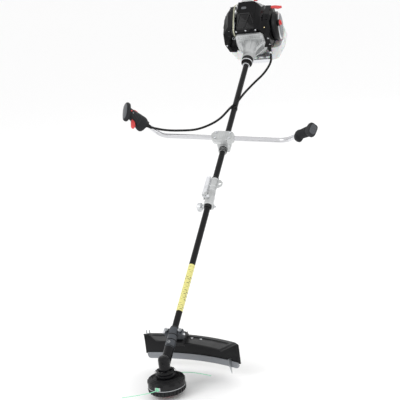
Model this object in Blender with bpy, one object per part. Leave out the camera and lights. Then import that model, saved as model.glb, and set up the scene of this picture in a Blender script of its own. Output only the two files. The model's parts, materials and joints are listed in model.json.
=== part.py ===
"""Petrol string trimmer with a split shaft and a two-piece bike handlebar.

Metres, +Z up. The cutting head turns about world Z, its bump button touches the ground at the
origin, and the shaft leans back towards +Y as it does in use. Everything above the gearcase is
modelled in the shaft frame: x to the operator's right, y down and back, away from the
handlebar's side, and z along the shaft towards the engine, so "above the shaft" is negative y.
"""

import math

import bmesh
import bpy
from mathutils import Matrix, Vector

# ---- driving dimensions ----
GAP = 0.0003
SHAFT_LEAN = math.radians(57.0)  # from the head's axis back to the shaft
AXES_MEET = 0.107  # height where the shaft's axis crosses the head's axis
TUBE_RADIUS = 0.012
TUBE_WALL = 0.0015
TUBE_BORE = TUBE_RADIUS + GAP  # hole that the shaft tube sits in
LOWER_TUBE = (0.050, 0.815)
UPPER_TUBE = (0.8215, 1.640)
DRIVE_RADIUS = 0.004
HEAD_RADIUS = 0.066
SPINDLE_RADIUS = 0.0054
SPINDLE_BORE = 0.0057
PINION_TEETH = 14
GEAR_TEETH = 19
CONE_NEAR = 0.015  # bevel gears' tooth ends, measured from where the axes meet
CONE_FAR = 0.022
CONE_RELIEF = math.radians(1.0)
GUARD_CENTRE = (-0.100, -0.435)
GUARD_RADIUS = 0.670
GUARD_FROM = math.radians(-5.6)
GUARD_TO = math.radians(29.5)
GUARD_DEPTH = 0.085
GUARD_TOP = 0.1405
GUARD_HEM = 0.056
SKIRT_HEM = 0.040
WALL = 0.003
COUPLER_CLAMP_Z = 0.762
LOCK_PIN_Z = 0.779
LEVER_PIVOT = (-0.027, 0.0, 0.806)
HARNESS_EYE = (0.0250, 0.0, 0.8670)
BAR_Z = 1.085
BAR_OFFSET = 0.042  # bar axis above the shaft axis
BAR_TURN = math.radians(7.0)  # the bar's clamp is turned a little round the shaft
BAR_RADIUS = 0.010
BAR_WALL = 0.0015
BAR_BEND_X = 0.2588
BAR_BEND_REACH = 0.030  # straight length that each bend takes up on both sides
BAR_RISE = (0.69, 0.72)  # outwards, upwards
GRIP_START = 0.0928  # along the rising end, from the bend
GRIP_LENGTH = 0.097
RIGHT_ROLL = math.radians(-24.0)  # the right bar is rolled forwards in its clamp
CRANK_THROW = 0.016
CYLINDER_Z = 1.8015
DECK_Y = -0.044
CYLINDER_TALL = 0.068
PISTON_RADIUS = 0.0214
WRIST_Y = -0.0780

COLOURS = {
    "black_plastic": ((0.018, 0.018, 0.020), 0.42, 0.0),
    "gloss_black": ((0.010, 0.010, 0.011), 0.16, 0.0),
    "black_paint": ((0.012, 0.012, 0.013), 0.28, 0.3),
    "red_plastic": ((0.62, 0.03, 0.03), 0.35, 0.0),
    "dark_red": ((0.35, 0.01, 0.02), 0.40, 0.0),
    "cast_aluminium": ((0.66, 0.67, 0.67), 0.42, 0.9),
    "silver_paint": ((0.74, 0.75, 0.76), 0.33, 0.6),
    "bar_steel": ((0.78, 0.78, 0.79), 0.22, 1.0),
    "grey_sleeve": ((0.17, 0.18, 0.19), 0.38, 0.8),
    "steel": ((0.55, 0.56, 0.57), 0.30, 1.0),
    "zinc": ((0.80, 0.81, 0.83), 0.25, 1.0),
    "rubber": ((0.015, 0.015, 0.015), 0.75, 0.0),
    "soft_grip": ((0.025, 0.025, 0.027), 0.68, 0.0),
    "grey_plastic": ((0.35, 0.36, 0.37), 0.45, 0.0),
    "white_lever": ((0.82, 0.83, 0.84), 0.35, 0.2),
    "tank_plastic": ((0.88, 0.88, 0.87), 0.30, 0.0),
    "nylon_line": ((0.25, 0.75, 0.45), 0.25, 0.0),
    "pale_cap": ((0.72, 0.72, 0.71), 0.40, 0.0),
}


# ---- scene and materials ----
def clear_scene():
    for obj in list(bpy.data.objects):
        bpy.data.objects.remove(obj, do_unlink=True)


def material(slot):
    found = bpy.data.materials.get(slot)
    if found:
        return found
    made = bpy.data.materials.new(slot)
    made.use_nodes = True
    colour, roughness, metallic = COLOURS[slot]
    shader = made.node_tree.nodes["Principled BSDF"]
    shader.inputs["Base Color"].default_value = (*colour, 1.0)
    shader.inputs["Roughness"].default_value = roughness
    shader.inputs["Metallic"].default_value = metallic
    return made


def frame(name, matrix, parent=None):
    empty = bpy.data.objects.new(name, None)
    bpy.context.scene.collection.objects.link(empty)
    empty.parent = parent
    empty.matrix_basis = matrix
    return empty


def make_frames():
    """The empties that the sub-parts hang on, by short name."""
    shaft = Matrix.Translation((0, 0, AXES_MEET)) @ Matrix.Rotation(-SHAFT_LEAN, 4, "X")
    frames = {"head": frame("head_frame", Matrix.Identity(4))}
    frames["shaft"] = frame("shaft_frame", shaft)
    bar = Matrix.Translation((0, 0, BAR_Z)) @ Matrix.Rotation(BAR_TURN, 4, "Z")
    frames["bar"] = frame("bar_frame", bar, frames["shaft"])
    frames["left_grip"] = frame("left_grip_frame", grip_matrix(-1, 0.0), frames["bar"])
    frames["right_grip"] = frame("right_grip_frame", grip_matrix(1, RIGHT_ROLL), frames["bar"])
    return frames


# ---- shapes: each returns a bmesh in its frame's coordinates ----
def closed(mesh):
    bmesh.ops.recalc_face_normals(mesh, faces=mesh.faces)
    return mesh


def aim(at, toward):
    return Matrix.Translation(at) @ Vector(toward).to_track_quat("Z", "Y").to_matrix().to_4x4()


def rings(loops, wrap):
    """Quads between loops of equal length; wrap joins the last loop to the first, or else ends are capped."""
    mesh = bmesh.new()
    made = [[mesh.verts.new(point) for point in loop] for loop in loops]
    count = len(made[0])
    pairs = list(zip(made, made[1:]))
    if wrap:
        pairs.append((made[-1], made[0]))
    for near, far in pairs:
        for i in range(count):
            j = (i + 1) % count
            mesh.faces.new((near[i], near[j], far[j], far[i]))
    if not wrap:
        mesh.faces.new(made[0])
        mesh.faces.new(made[-1])
    bmesh.ops.triangulate(mesh, faces=mesh.faces[:])
    return closed(mesh)


def turned(profile, steps=24, at=(0, 0, 0), toward=(0, 0, 1)):
    """A turned solid. profile is (radius, height): a closed ring, or from the axis back to the axis."""
    solid = profile[0][0] == 0 and profile[-1][0] == 0
    mesh = bmesh.new()
    rows = []
    for radius, height in profile:
        if radius == 0:
            rows.append([mesh.verts.new((0, 0, height))])
            continue
        angles = [math.tau * i / steps for i in range(steps)]
        rows.append([mesh.verts.new((radius * math.cos(a), radius * math.sin(a), height)) for a in angles])
    pairs = list(zip(rows, rows[1:]))
    if not solid:
        pairs.append((rows[-1], rows[0]))
    for low, high in pairs:
        for i in range(steps):
            j = (i + 1) % steps
            if len(low) == 1:
                mesh.faces.new((low[0], high[j], high[i]))
            elif len(high) == 1:
                mesh.faces.new((low[i], low[j], high[0]))
            else:
                mesh.faces.new((low[i], low[j], high[j], high[i]))
    mesh.transform(aim(at, toward))
    return closed(mesh)


def rod(radius, start, end, steps=12):
    start, end = Vector(start), Vector(end)
    length = (end - start).length
    return turned([(0, 0), (radius, 0), (radius, length), (0, length)], steps, start, end - start)


def block(low, high, bevel=0.0):
    mesh = bmesh.new()
    bmesh.ops.create_cube(mesh, size=1.0)
    low, high = Vector(low), Vector(high)
    mesh.transform(Matrix.Translation((low + high) / 2) @ Matrix.Diagonal((*(high - low), 1.0)))
    if bevel:
        bmesh.ops.bevel(mesh, geom=mesh.edges[:], offset=bevel, segments=1, affect="EDGES")
    return closed(mesh)


def prism(outline, low, high, axis="z"):
    """An outline pushed along an axis: it is in (x, y) for z, (y, z) for x and (x, z) for y."""
    place = {
        "z": lambda a, b, c: (a, b, c),
        "x": lambda a, b, c: (c, a, b),
        "y": lambda a, b, c: (a, c, b),
    }[axis]
    return rings([[place(a, b, low) for a, b in outline], [place(a, b, high) for a, b in outline]], False)


def sweep(points, radius, sides=10, bore=0.0):
    """A round bar along a path, or a tube when it has a bore."""
    points = [Vector(point) for point in points]
    outer, inner = [], []
    side = None
    for i, point in enumerate(points):
        ahead = (points[min(i + 1, len(points) - 1)] - points[max(i - 1, 0)]).normalized()
        if side is None:
            side = ahead.orthogonal().normalized()
        side = (side - ahead * side.dot(ahead)).normalized()
        other = ahead.cross(side)
        angles = [math.tau * k / sides for k in range(sides)]
        spokes = [side * math.cos(a) + other * math.sin(a) for a in angles]
        outer.append([point + spoke * radius for spoke in spokes])
        inner.append([point + spoke * bore for spoke in spokes])
    if bore:
        return rings(outer + inner[::-1], True)
    return rings(outer, False)


def loft(levels, steps=16):
    """A lofted solid; levels are (height, half width in x, half width in y, shift in x, squareness)."""
    loops = []
    for height, wide, deep, shift, square in levels:
        loop = []
        for angle in (math.tau * i / steps for i in range(steps)):
            across, over = math.cos(angle), math.sin(angle)
            reach = (abs(across) ** square + abs(over) ** square) ** (-1 / square)
            loop.append((shift + wide * across * reach, deep * over * reach, height))
        loops.append(loop)
    return rings(loops, False)


def star(teeth, radius, height, depth):
    """A zigzag loop round the axis; depth is the root's share of the radius."""
    angles = [math.pi * i / teeth for i in range(2 * teeth)]
    reach = [radius if i % 2 else radius * depth for i in range(2 * teeth)]
    return [(r * math.cos(a), r * math.sin(a), height) for r, a in zip(reach, angles)]


def toothed(teeth, levels, depth, at=(0, 0, 0), toward=(0, 0, 1)):
    """A solid with zigzag teeth; levels are (radius, height), and depth is the root's share of the radius."""
    mesh = rings([star(teeth, radius, height, depth) for radius, height in levels], False)
    mesh.transform(aim(at, toward))
    return mesh


def arc_sweep(section, start, end, steps):
    """A section of (radius, height) points swept round the guard's centre."""
    loops = []
    for i in range(steps + 1):
        angle = start + (end - start) * i / steps
        across = Vector((math.sin(angle), math.cos(angle), 0))
        centre = Vector((*GUARD_CENTRE, 0))
        loops.append([centre + across * radius + Vector((0, 0, height)) for radius, height in section])
    return rings(loops, False)


def smooth_points(route, per_span):
    """Points on a Catmull-Rom curve through a route."""
    route = [Vector(point) for point in route]
    ends = [route[0] * 2 - route[1], *route, route[-1] * 2 - route[-2]]
    points = []
    for a, b, c, d in zip(ends, ends[1:], ends[2:], ends[3:]):
        for k in range(per_span):
            t = k / per_span
            near = 2 * b + (c - a) * t
            far = (2 * a - 5 * b + 4 * c - d) * t**2 + (3 * b - a - 3 * c + d) * t**3
            points.append((near + far) / 2)
    points.append(route[-1])
    return points


# ---- turning shapes into sub-parts ----
def helper(name, mesh, home, origin):
    data = bpy.data.meshes.new(name)
    mesh.transform(Matrix.Translation(-Vector(origin)))
    mesh.to_mesh(data)
    mesh.free()
    obj = bpy.data.objects.new(name, data)
    bpy.context.scene.collection.objects.link(obj)
    obj.parent = home
    obj.location = origin
    return obj


def part(name, slot, home, base, join=(), cut=(), origin=(0, 0, 0), smooth=True):
    """A sub-part: a base shape with others joined to it and cut from it, its origin on its own joint axis."""
    obj = helper(name, base, home, origin)
    obj.data.materials.append(material(slot))
    tools = [("UNION", mesh) for mesh in join] + [("DIFFERENCE", mesh) for mesh in cut]
    for number, (operation, mesh) in enumerate(tools, 1):
        tool = helper(f"{name}_tool_{number}", mesh, home, origin)
        tool.hide_render = True
        tool.display_type = "WIRE"
        modifier = obj.modifiers.new(f"{operation.lower()}_{number}", "BOOLEAN")
        modifier.operation = operation
        modifier.object = tool
    if smooth:
        obj.data.shade_smooth()
        obj.data.set_sharp_from_angle(angle=math.radians(35))
    return obj


# ---- cutting head, in the head frame ----
def bump_button(home):
    profile = [(0, 0), (0.020, 0), (0.0245, 0.003), (0.0255, 0.0065), (0.0255, 0.013)]
    profile += [(0.031, 0.013), (0.031, 0.016), (0.010, 0.016), (0.010, 0.020), (0, 0.020)]
    part("bump_button", "dark_red", home, turned(profile))


def spool(home):
    profile = [(0.0115, 0.0205), (0.059, 0.0205), (0.059, 0.0225), (0.037, 0.0225)]
    profile += [(0.037, 0.0475), (0.059, 0.0475), (0.059, 0.0495), (0.0115, 0.0495)]
    part("spool", "grey_plastic", home, turned(profile))


def head_cover(home):
    outside = [(0.0268, 0.0095), (0.034, 0.0095), (0.061, 0.0172), (HEAD_RADIUS, 0.028), (HEAD_RADIUS, 0.0372)]
    inside = [(0.0625, 0.0372), (0.0625, 0.030), (0.060, 0.0203), (0.0345, 0.0127), (0.0268, 0.0125)]
    part("head_cover", "black_plastic", home, turned(outside + inside, 32))


def eyelet_place(side):
    """Middle of a line eyelet in the housing's wall, and the way out of it."""
    out = Vector((0.13, 0.9915, 0)) * side
    return Vector((0, 0, 0.0475)), out


def head_housing(home):
    outside = [(SPINDLE_BORE, 0.071), (0.015, 0.071), (0.015, 0.069), (0.046, 0.0685), (0.063, 0.0635)]
    outside += [(HEAD_RADIUS, 0.059), (HEAD_RADIUS, 0.0375)]
    inside = [(0.0625, 0.0375), (0.0625, 0.0575), (0.045, 0.065), (0.011, 0.065), (0.011, 0.040)]
    base = turned(outside + inside + [(SPINDLE_BORE, 0.040)], 32)
    holes = []
    for side in (1, -1):
        centre, out = eyelet_place(side)
        holes.append(rod(0.0045, centre + out * 0.058, centre + out * 0.070, 10))
    part("head_housing", "black_plastic", home, base, cut=holes)


def spool_spring(home):
    turns, steps = 3, 10
    points = []
    for i in range(turns * steps + 1):
        angle = math.tau * i / steps
        height = 0.0509 + (0.0639 - 0.0509) * i / (turns * steps)
        points.append((0.0145 * math.cos(angle), 0.0145 * math.sin(angle), height))
    part("spool_spring", "steel", home, sweep(points, 0.0009, 5))


def trimmer_line(name, side, home):
    """One free end of nylon line: out of its eyelet, then trailing and drooping a little."""
    route = [(0.0087, 0.0665, 0.0475), (0.0112, 0.0765, 0.0472), (0.0215, 0.0875, 0.0462)]
    route += [(0.042, 0.0965, 0.0440), (0.068, 0.1015, 0.0405), (0.099, 0.1035, 0.0355), (0.130, 0.1035, 0.0300)]
    route = [(x * side, y * side, z) for x, y, z in route]
    curve = bpy.data.curves.new(name, "CURVE")
    curve.dimensions = "3D"
    curve.bevel_depth = 0.0012
    curve.bevel_resolution = 2
    curve.use_fill_caps = True
    points = smooth_points(route, 4)
    spline = curve.splines.new("POLY")
    spline.points.add(len(points) - 1)
    for knot, point in zip(spline.points, points):
        knot.co = (*point, 1.0)
    curve.materials.append(material("nylon_line"))
    obj = bpy.data.objects.new(name, curve)
    bpy.context.scene.collection.objects.link(obj)
    obj.parent = home


def holder_flange(home):
    profile = [(SPINDLE_BORE, 0.0713), (0.034, 0.0713), (0.034, 0.0758), (0.0355, 0.0768), (0.0355, 0.0805)]
    profile += [(0.0285, 0.0835), (0.0285, 0.0925), (0.0245, 0.0925), (0.0245, 0.085), (SPINDLE_BORE, 0.085)]
    part("holder_flange", "black_paint", home, turned(profile))


def cone_levels(half_angle):
    """Small and large end of a bevel gear, as (radius, distance along its axis)."""
    angle = half_angle - CONE_RELIEF
    return [(r * math.sin(angle), r * math.cos(angle)) for r in (CONE_NEAR, CONE_FAR)]


def pinion_half_angle():
    return math.atan2(math.sin(SHAFT_LEAN), GEAR_TEETH / PINION_TEETH + math.cos(SHAFT_LEAN))


def output_spindle(home):
    (near, low), (far, high) = cone_levels(SHAFT_LEAN - pinion_half_angle())
    gear = toothed(GEAR_TEETH, [(near, low), (far, high), (far * 0.85, high + 0.003)], 0.86, (0, 0, AXES_MEET))
    shank = rod(SPINDLE_RADIUS, (0, 0, 0.0415), (0, 0, 0.140))
    hub = rod(0.0085, (0, 0, AXES_MEET + high), (0, 0, 0.1325), 16)
    collar = rod(0.0090, (0, 0, 0.0853), (0, 0, 0.104), 16)
    part("output_spindle", "steel", home, shank, join=[hub, gear, collar])


def gearcase(home, shaft):
    barrel = [(0, 0.0933), (0.0205, 0.0933), (0.0205, 0.134), (0.0180, 0.140), (0.0125, 0.145), (0, 0.147)]
    way = shaft.matrix_basis
    neck = rod(0.0178, (0, 0, 0.010), (0, 0, 0.0745), 24)
    seat = rod(TUBE_BORE, (0, 0, 0.0485), (0, 0, 0.085), 24)
    pinion_room = rod(0.0128, (0, 0, 0.012), (0, 0, 0.0487), 24)
    for mesh in (neck, seat, pinion_room):
        mesh.transform(way)
    gear_room = rod(0.0165, (0, 0, 0.088), (0, 0, 0.1325), 24)
    top_room = rod(0.0105, (0, 0, 0.132), (0, 0, 0.141), 16)
    plug = rod(0.0045, (0, -0.018, 0.121), (0, -0.0238, 0.121), 8)
    cuts = [gear_room, top_room, pinion_room, seat]
    part("gearcase", "black_paint", home, turned(barrel), join=[neck, plug], cut=cuts)


# ---- gear drive and tubes, in the shaft frame ----
def input_pinion(home):
    (near, low), (far, high) = cone_levels(pinion_half_angle())
    teeth = toothed(PINION_TEETH, [(near, low), (far, high), (far * 0.85, high + 0.003)], 0.84)
    stub = rod(0.0050, (0, 0, high - 0.003), (0, 0, 0.0560))
    race = rod(0.0122, (0, 0, 0.030), (0, 0, 0.041), 20)
    part("input_pinion", "steel", home, stub, join=[teeth, race])


def drive_shaft(home):
    shaft = rod(DRIVE_RADIUS, (0, 0, 0.0563), (0, 0, 1.6475), 10)
    socket = rod(0.0075, (0, 0, 0.797), (0, 0, 0.835))
    bushes = [rod(0.0098, (0, 0, z), (0, 0, z + 0.025)) for z in (0.30, 0.60, 1.10, 1.38)]
    part("drive_shaft", "steel", home, shaft, join=[socket, *bushes])


def tube(name, low, high, home, cut=()):
    bore = TUBE_RADIUS - TUBE_WALL
    profile = [(bore, low), (TUBE_RADIUS, low), (TUBE_RADIUS, high), (bore, high)]
    part(name, "gloss_black", home, turned(profile), cut=cut)


def shaft_tubes(home):
    hole = rod(0.0034, (0, -0.016, LOCK_PIN_Z), (0, -0.006, LOCK_PIN_Z), 10)
    tube("lower_tube", *LOWER_TUBE, home, [hole])
    tube("upper_tube", *UPPER_TUBE, home)


# ---- guard ----
def guard_bracket(home):
    """Clamp sleeve on the tube, with the saddle that carries the guard below it."""
    sleeve = turned([(TUBE_BORE, 0.0750), (0.0182, 0.0750), (0.0182, 0.1570), (TUBE_BORE, 0.1570)])
    saddle = block((-0.034, -0.004, 0.1335), (0.034, 0.0300, 0.1600), 0.002)
    bolts = [rod(0.0048, (x, -0.010, 0.1468), (x, 0.004, 0.1468), 6) for x in (-0.0265, 0.0265)]
    bore = rod(TUBE_BORE, (0, 0, 0.070), (0, 0, 0.165), 24)
    part("guard_bracket", "grey_sleeve", home, sleeve, join=[saddle, *bolts], cut=[bore])


def guard_shell(home, shaft):
    inner = GUARD_RADIUS - GUARD_DEPTH
    section = [(inner, GUARD_TOP), (GUARD_RADIUS - 0.004, GUARD_TOP), (GUARD_RADIUS, GUARD_TOP - 0.004)]
    section += [(GUARD_RADIUS, GUARD_HEM), (GUARD_RADIUS - WALL, GUARD_HEM)]
    section += [(GUARD_RADIUS - WALL, GUARD_TOP - WALL), (inner, GUARD_TOP - WALL)]
    shell = arc_sweep(section, GUARD_FROM, GUARD_TO, 16)
    end = GUARD_RADIUS - WALL / 2
    rib = [(inner + 0.01, GUARD_TOP - 0.001), (end, GUARD_TOP - 0.001), (end, GUARD_HEM + 0.001)]
    rib.append((end - 0.02, GUARD_HEM + 0.001))
    thick, inset = WALL / GUARD_RADIUS, math.radians(0.2)
    ribs = [arc_sweep(rib, a, a + thick, 1) for a in (GUARD_FROM + inset, GUARD_TO - inset - thick)]
    boss = block((-0.032, 0.0304, 0.125), (0.032, 0.058, 0.175), 0.002)
    boss.transform(shaft.matrix_basis)
    ridge = [(end - 0.034, GUARD_TOP - 0.001), (end - 0.014, GUARD_TOP - 0.001), (end - 0.016, GUARD_TOP + 0.008)]
    ridge.append((end - 0.032, GUARD_TOP + 0.008))
    ridge = arc_sweep(ridge, math.radians(13.2), math.radians(16.8), 2)
    part("guard_shell", "black_plastic", home, shell, join=[*ribs, boss, ridge])


def guard_skirt(home):
    inner = GUARD_RADIUS - WALL - 0.0005
    section = [(inner - WALL, 0.078), (inner, 0.078), (inner, SKIRT_HEM), (inner - WALL, SKIRT_HEM)]
    margin = math.radians(0.5)
    part("guard_skirt", "grey_plastic", home, arc_sweep(section, GUARD_FROM + margin, GUARD_TO - margin, 14))


def line_cutter(home):
    inner = GUARD_RADIUS - 2 * WALL - 0.0010
    outline = [(inner, 0.076), (inner, 0.046), (inner - 0.003, 0.016), (inner - 0.015, 0.052), (inner - 0.015, 0.076)]
    angle = math.radians(26.0)
    part("line_cutter", "steel", home, arc_sweep(outline, angle, angle + 0.0018 / inner, 1))


# ---- coupler ----
def coupler_body(home):
    sleeve = rod(0.0150, (0, 0, 0.7960), (0, 0, 0.8900), 24)
    clamp = rod(0.0185, (0, 0, 0.7500), (0, 0, 0.7975), 24)
    lugs = block((-0.0160, 0.0080, 0.7512), (0.0160, 0.0255, 0.7760), 0.002)
    pin_boss = rod(0.0065, (0, -0.012, LOCK_PIN_Z), (0, -0.0235, LOCK_PIN_Z), 12)
    ears = [block((-0.0330, y, 0.7965), (-0.0110, y + 0.003, 0.8130)) for y in (-0.0142, 0.0112)]
    eye_outline = [(0.0130, 0.8880), (0.0260, 0.8850), (0.0360, 0.8740), (0.0360, 0.8570), (0.0280, 0.8510), (0.0130, 0.8440)]
    eye = prism(eye_outline, -0.0025, 0.0025, "y")
    cuts = [
        rod(TUBE_BORE, (0, 0, 0.7400), (0, 0, 0.8153), 24),
        rod(TUBE_BORE, (0, 0, 0.8212), (0, 0, 0.9000), 24),
        rod(0.0086, (0, 0, 0.8100), (0, 0, 0.8300), 16),
        block((-0.0012, 0.0100, 0.7400), (0.0012, 0.0300, 0.7850)),
        rod(0.0033, (-0.020, 0.0190, COUPLER_CLAMP_Z), (0.020, 0.0190, COUPLER_CLAMP_Z), 10),
        rod(0.0033, (0, -0.0250, LOCK_PIN_Z), (0, -0.0100, LOCK_PIN_Z), 10),
        rod(0.0023, (LEVER_PIVOT[0], -0.016, LEVER_PIVOT[2]), (LEVER_PIVOT[0], 0.016, LEVER_PIVOT[2]), 8),
        rod(0.0068, (HARNESS_EYE[0], -0.006, HARNESS_EYE[2]), (HARNESS_EYE[0], 0.006, HARNESS_EYE[2]), 12),
    ]
    part("coupler_body", "cast_aluminium", home, sleeve, join=[clamp, lugs, pin_boss, *ears, eye], cut=cuts)


def coupler_lever(home):
    x, y, z = LEVER_PIVOT
    arm = block((-0.0370, -0.0105, 0.8010), (-0.0175, 0.0105, 0.9050), 0.0035)
    pin = rod(0.0020, (x, -0.0148, z), (x, 0.0148, z), 8)
    part("coupler_lever", "white_lever", home, arm, join=[pin], origin=LEVER_PIVOT)


def coupler_knob(home):
    y, z = 0.0190, COUPLER_CLAMP_Z
    grip = [(0, -0.0520), (0.0130, -0.0520), (0.0170, -0.0480), (0.0170, -0.0350), (0.0110, -0.0300)]
    grip += [(0.0080, -0.0290), (0.0080, -0.0170), (0, -0.0170)]
    bolt = rod(0.0030, (-0.020, y, z), (0.0260, y, z), 10)
    nut = rod(0.0058, (0.0165, y, z), (0.0215, y, z), 6)
    part("coupler_knob", "silver_paint", home, turned(grip, 20, (0, y, z), (1, 0, 0)), join=[bolt, nut], origin=(0, y, z))


def lock_pin(home):
    profile = [(0, 0), (0.0030, 0), (0.0030, 0.0140), (0.0058, 0.0143), (0.0058, 0.0185), (0, 0.0185)]
    part("lock_pin", "zinc", home, turned(profile, 12, (0, -0.0098, LOCK_PIN_Z), (0, -1, 0)), origin=(0, 0, LOCK_PIN_Z))


# ---- handlebar, in the bar frame ----
def stadium(half_length, half_width, steps=5):
    """A long outline with round ends in (x, z)."""
    points = []
    for side in (1, -1):
        for i in range(steps + 1):
            angle = math.pi * (i / steps - 0.5)
            x = side * (half_length - half_width + half_width * math.cos(angle))
            points.append((x, side * half_width * math.sin(angle)))
    return points


def bar_bores():
    bar = rod(BAR_RADIUS + GAP, (-0.06, -BAR_OFFSET, 0), (0.06, -BAR_OFFSET, 0), 16)
    screws = [rod(0.0025, (x, -0.065, z), (x, -0.030, z), 8) for x in (-0.0285, 0.0285) for z in (-0.0150, 0.0150)]
    return [bar, *screws]


def clamp_base(home):
    plate = prism(stadium(0.048, 0.0235), -BAR_OFFSET + 0.0002, -0.0290, "y")
    body = block((-0.0250, -0.0310, -0.0220), (0.0250, 0.0210, 0.0220), 0.004)
    tube_hole = rod(TUBE_BORE, (0, 0, -0.05), (0, 0, 0.05), 24)
    split = block((0.0050, -0.0008, -0.03), (0.030, 0.0008, 0.03))
    bar = rod(BAR_RADIUS + GAP, (-0.06, -BAR_OFFSET, 0), (0.06, -BAR_OFFSET, 0), 16)
    bush = turned([(TUBE_BORE, -0.0420), (0.0150, -0.0420), (0.0165, -0.0215), (TUBE_BORE, -0.0215)])
    part("clamp_base", "cast_aluminium", home, body, join=[plate, bush], cut=[tube_hole, split, bar])


def clamp_cap(home):
    plate = prism(stadium(0.049, 0.0260), -0.0570, -BAR_OFFSET - 0.0002, "y")
    bar = rod(BAR_RADIUS + GAP, (-0.06, -BAR_OFFSET, 0), (0.06, -BAR_OFFSET, 0), 16)
    heads = [rod(0.0042, (x, -0.0560, z), (x, -0.0600, z), 8) for x in (-0.0285, 0.0285) for z in (-0.0150, 0.0150)]
    part("clamp_cap", "cast_aluminium", home, plate, join=heads, cut=[bar])


def rise_vector(roll):
    return Vector((0, -math.cos(roll), math.sin(roll)))


def bar_point(side, roll, along, up):
    return Vector((side * along, -BAR_OFFSET, 0)) + rise_vector(roll) * up


def grip_point(side, roll, distance):
    """A point on the bar's rising end, measured from its bend."""
    out, up = BAR_RISE
    return bar_point(side, roll, BAR_BEND_X + out * distance, up * distance)


def grip_matrix(side, roll):
    """Grip frame: z out along the bar's end, x to the front of the grip, where the fingers go."""
    start = grip_point(side, roll, GRIP_START)
    out = (grip_point(side, roll, GRIP_START + 0.1) - start).normalized()
    front = Vector((0, 0, -1))
    front = (front - out * front.dot(out)).normalized()
    across = out.cross(front)
    turn = Matrix((front, across, out)).transposed().to_4x4()
    return Matrix.Translation(start) @ turn


def handlebar(name, side, roll, home):
    reach = BAR_BEND_REACH
    points = [bar_point(side, roll, 0.0010, 0), bar_point(side, roll, 0.0600, 0)]
    corner = bar_point(side, roll, BAR_BEND_X, 0)
    start = bar_point(side, roll, BAR_BEND_X - reach, 0)
    end = grip_point(side, roll, reach)
    for i in range(7):
        t = i / 6
        points.append(start * (1 - t) ** 2 + corner * 2 * t * (1 - t) + end * t**2)
    points.append(grip_point(side, roll, GRIP_START + 0.070))
    part(name, "bar_steel", home, sweep(points, BAR_RADIUS, 14, BAR_RADIUS - BAR_WALL))


def grip_shape():
    """The whole outside of the throttle grip: a fat inner end, a waist and a slanted palm stop."""
    levels = [(-0.006, 0.020, 0.0150, 0.009, 2.0), (0.000, 0.031, 0.0205, 0.011, 2.2), (0.010, 0.035, 0.0230, 0.012, 2.4)]
    levels += [(0.030, 0.031, 0.0215, 0.008, 2.4), (0.050, 0.0255, 0.0190, 0.004, 2.2), (0.070, 0.0225, 0.0180, 0.001, 2.2)]
    levels.append((0.090, 0.0225, 0.0180, 0.0, 2.2))
    stop = [(-0.038, 0.098), (-0.037, 0.103), (-0.030, 0.106), (0.032, 0.0905), (0.044, 0.084), (0.047, 0.078)]
    stop += [(0.043, 0.073), (0.032, 0.0725), (-0.032, 0.088)]
    slab = prism(stop, -0.0175, 0.0175, "y")
    return loft(levels), slab


def grip_shell(name, side, home):
    """One half of the throttle grip, on its own side of the plane y = 0."""
    body, slab = grip_shape()
    other = block((-0.1, -0.1 * (side > 0) - 0.00015 * (side < 0), -0.1), (0.1, 0.1 * (side < 0) + 0.00015 * (side > 0), 0.2))
    bar = rod(BAR_RADIUS + GAP, (0, 0, -0.02), (0, 0, 0.0715), 14)
    trigger_room = block((0.0112, -0.0065, 0.0200), (0.070, 0.0065, 0.0645))
    lock_room = block((-0.050, -0.0065, 0.0420), (-0.0122, 0.0065, 0.0760))
    switch_room = block((-0.0070, 0.0095, 0.074), (0.0070, 0.0220, 0.0850))
    cuts = [other, bar, trigger_room, lock_room]
    if side > 0:
        cuts.append(switch_room)
    part(name, "soft_grip", home, body, join=[slab], cut=cuts)


def trigger(home):
    pivot = (0.0165, 0, 0.0560)
    outline = [(0.0125, 0.0600), (0.0200, 0.0620), (0.0400, 0.0560), (0.0560, 0.0500), (0.0600, 0.0440)]
    outline += [(0.0580, 0.0370), (0.0500, 0.0360), (0.0340, 0.0420), (0.0175, 0.0480), (0.0130, 0.0540)]
    part("throttle_trigger", "red_plastic", home, prism(outline, -0.0060, 0.0060, "y"), origin=pivot)


def lockout(home):
    pivot = (-0.0160, 0, 0.0720)
    outline = [(-0.0130, 0.0745), (-0.0190, 0.0750), (-0.0270, 0.0640), (-0.0275, 0.0480)]
    outline += [(-0.0235, 0.0450), (-0.0172, 0.0450), (-0.0150, 0.0500)]
    part("lockout_lever", "red_plastic", home, prism(outline, -0.0060, 0.0060, "y"), origin=pivot)


def stop_switch(home):
    base = block((-0.0064, 0.0125, 0.0745), (0.0064, 0.0165, 0.0845))
    nib = block((-0.0025, 0.0160, 0.0770), (0.0035, 0.0210, 0.0820), 0.0008)
    part("stop_switch", "red_plastic", home, base, join=[nib], origin=(0, 0.0130, 0.0795))


def plain_grip(home):
    levels = [(-0.004, 0.0190, 0.0150, 0.003, 2.0), (0.000, 0.0245, 0.0190, 0.005, 2.2), (0.009, 0.0250, 0.0195, 0.005, 2.2)]
    levels += [(0.015, 0.0185, 0.0180, 0.000, 2.0), (0.040, 0.0190, 0.0180, 0.000, 2.0), (0.066, 0.0205, 0.0185, 0.000, 2.2)]
    levels += [(0.074, 0.0245, 0.0190, -0.001, 3.0), (0.080, 0.0265, 0.0200, -0.001, 4.0), (0.091, 0.0265, 0.0200, -0.001, 4.0)]
    levels.append((0.097, 0.0220, 0.0155, -0.001, 4.0))
    bar = rod(BAR_RADIUS + GAP, (0, 0, -0.02), (0, 0, 0.0715), 14)
    part("plain_grip", "soft_grip", home, loft(levels, 20), cut=[bar])


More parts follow.
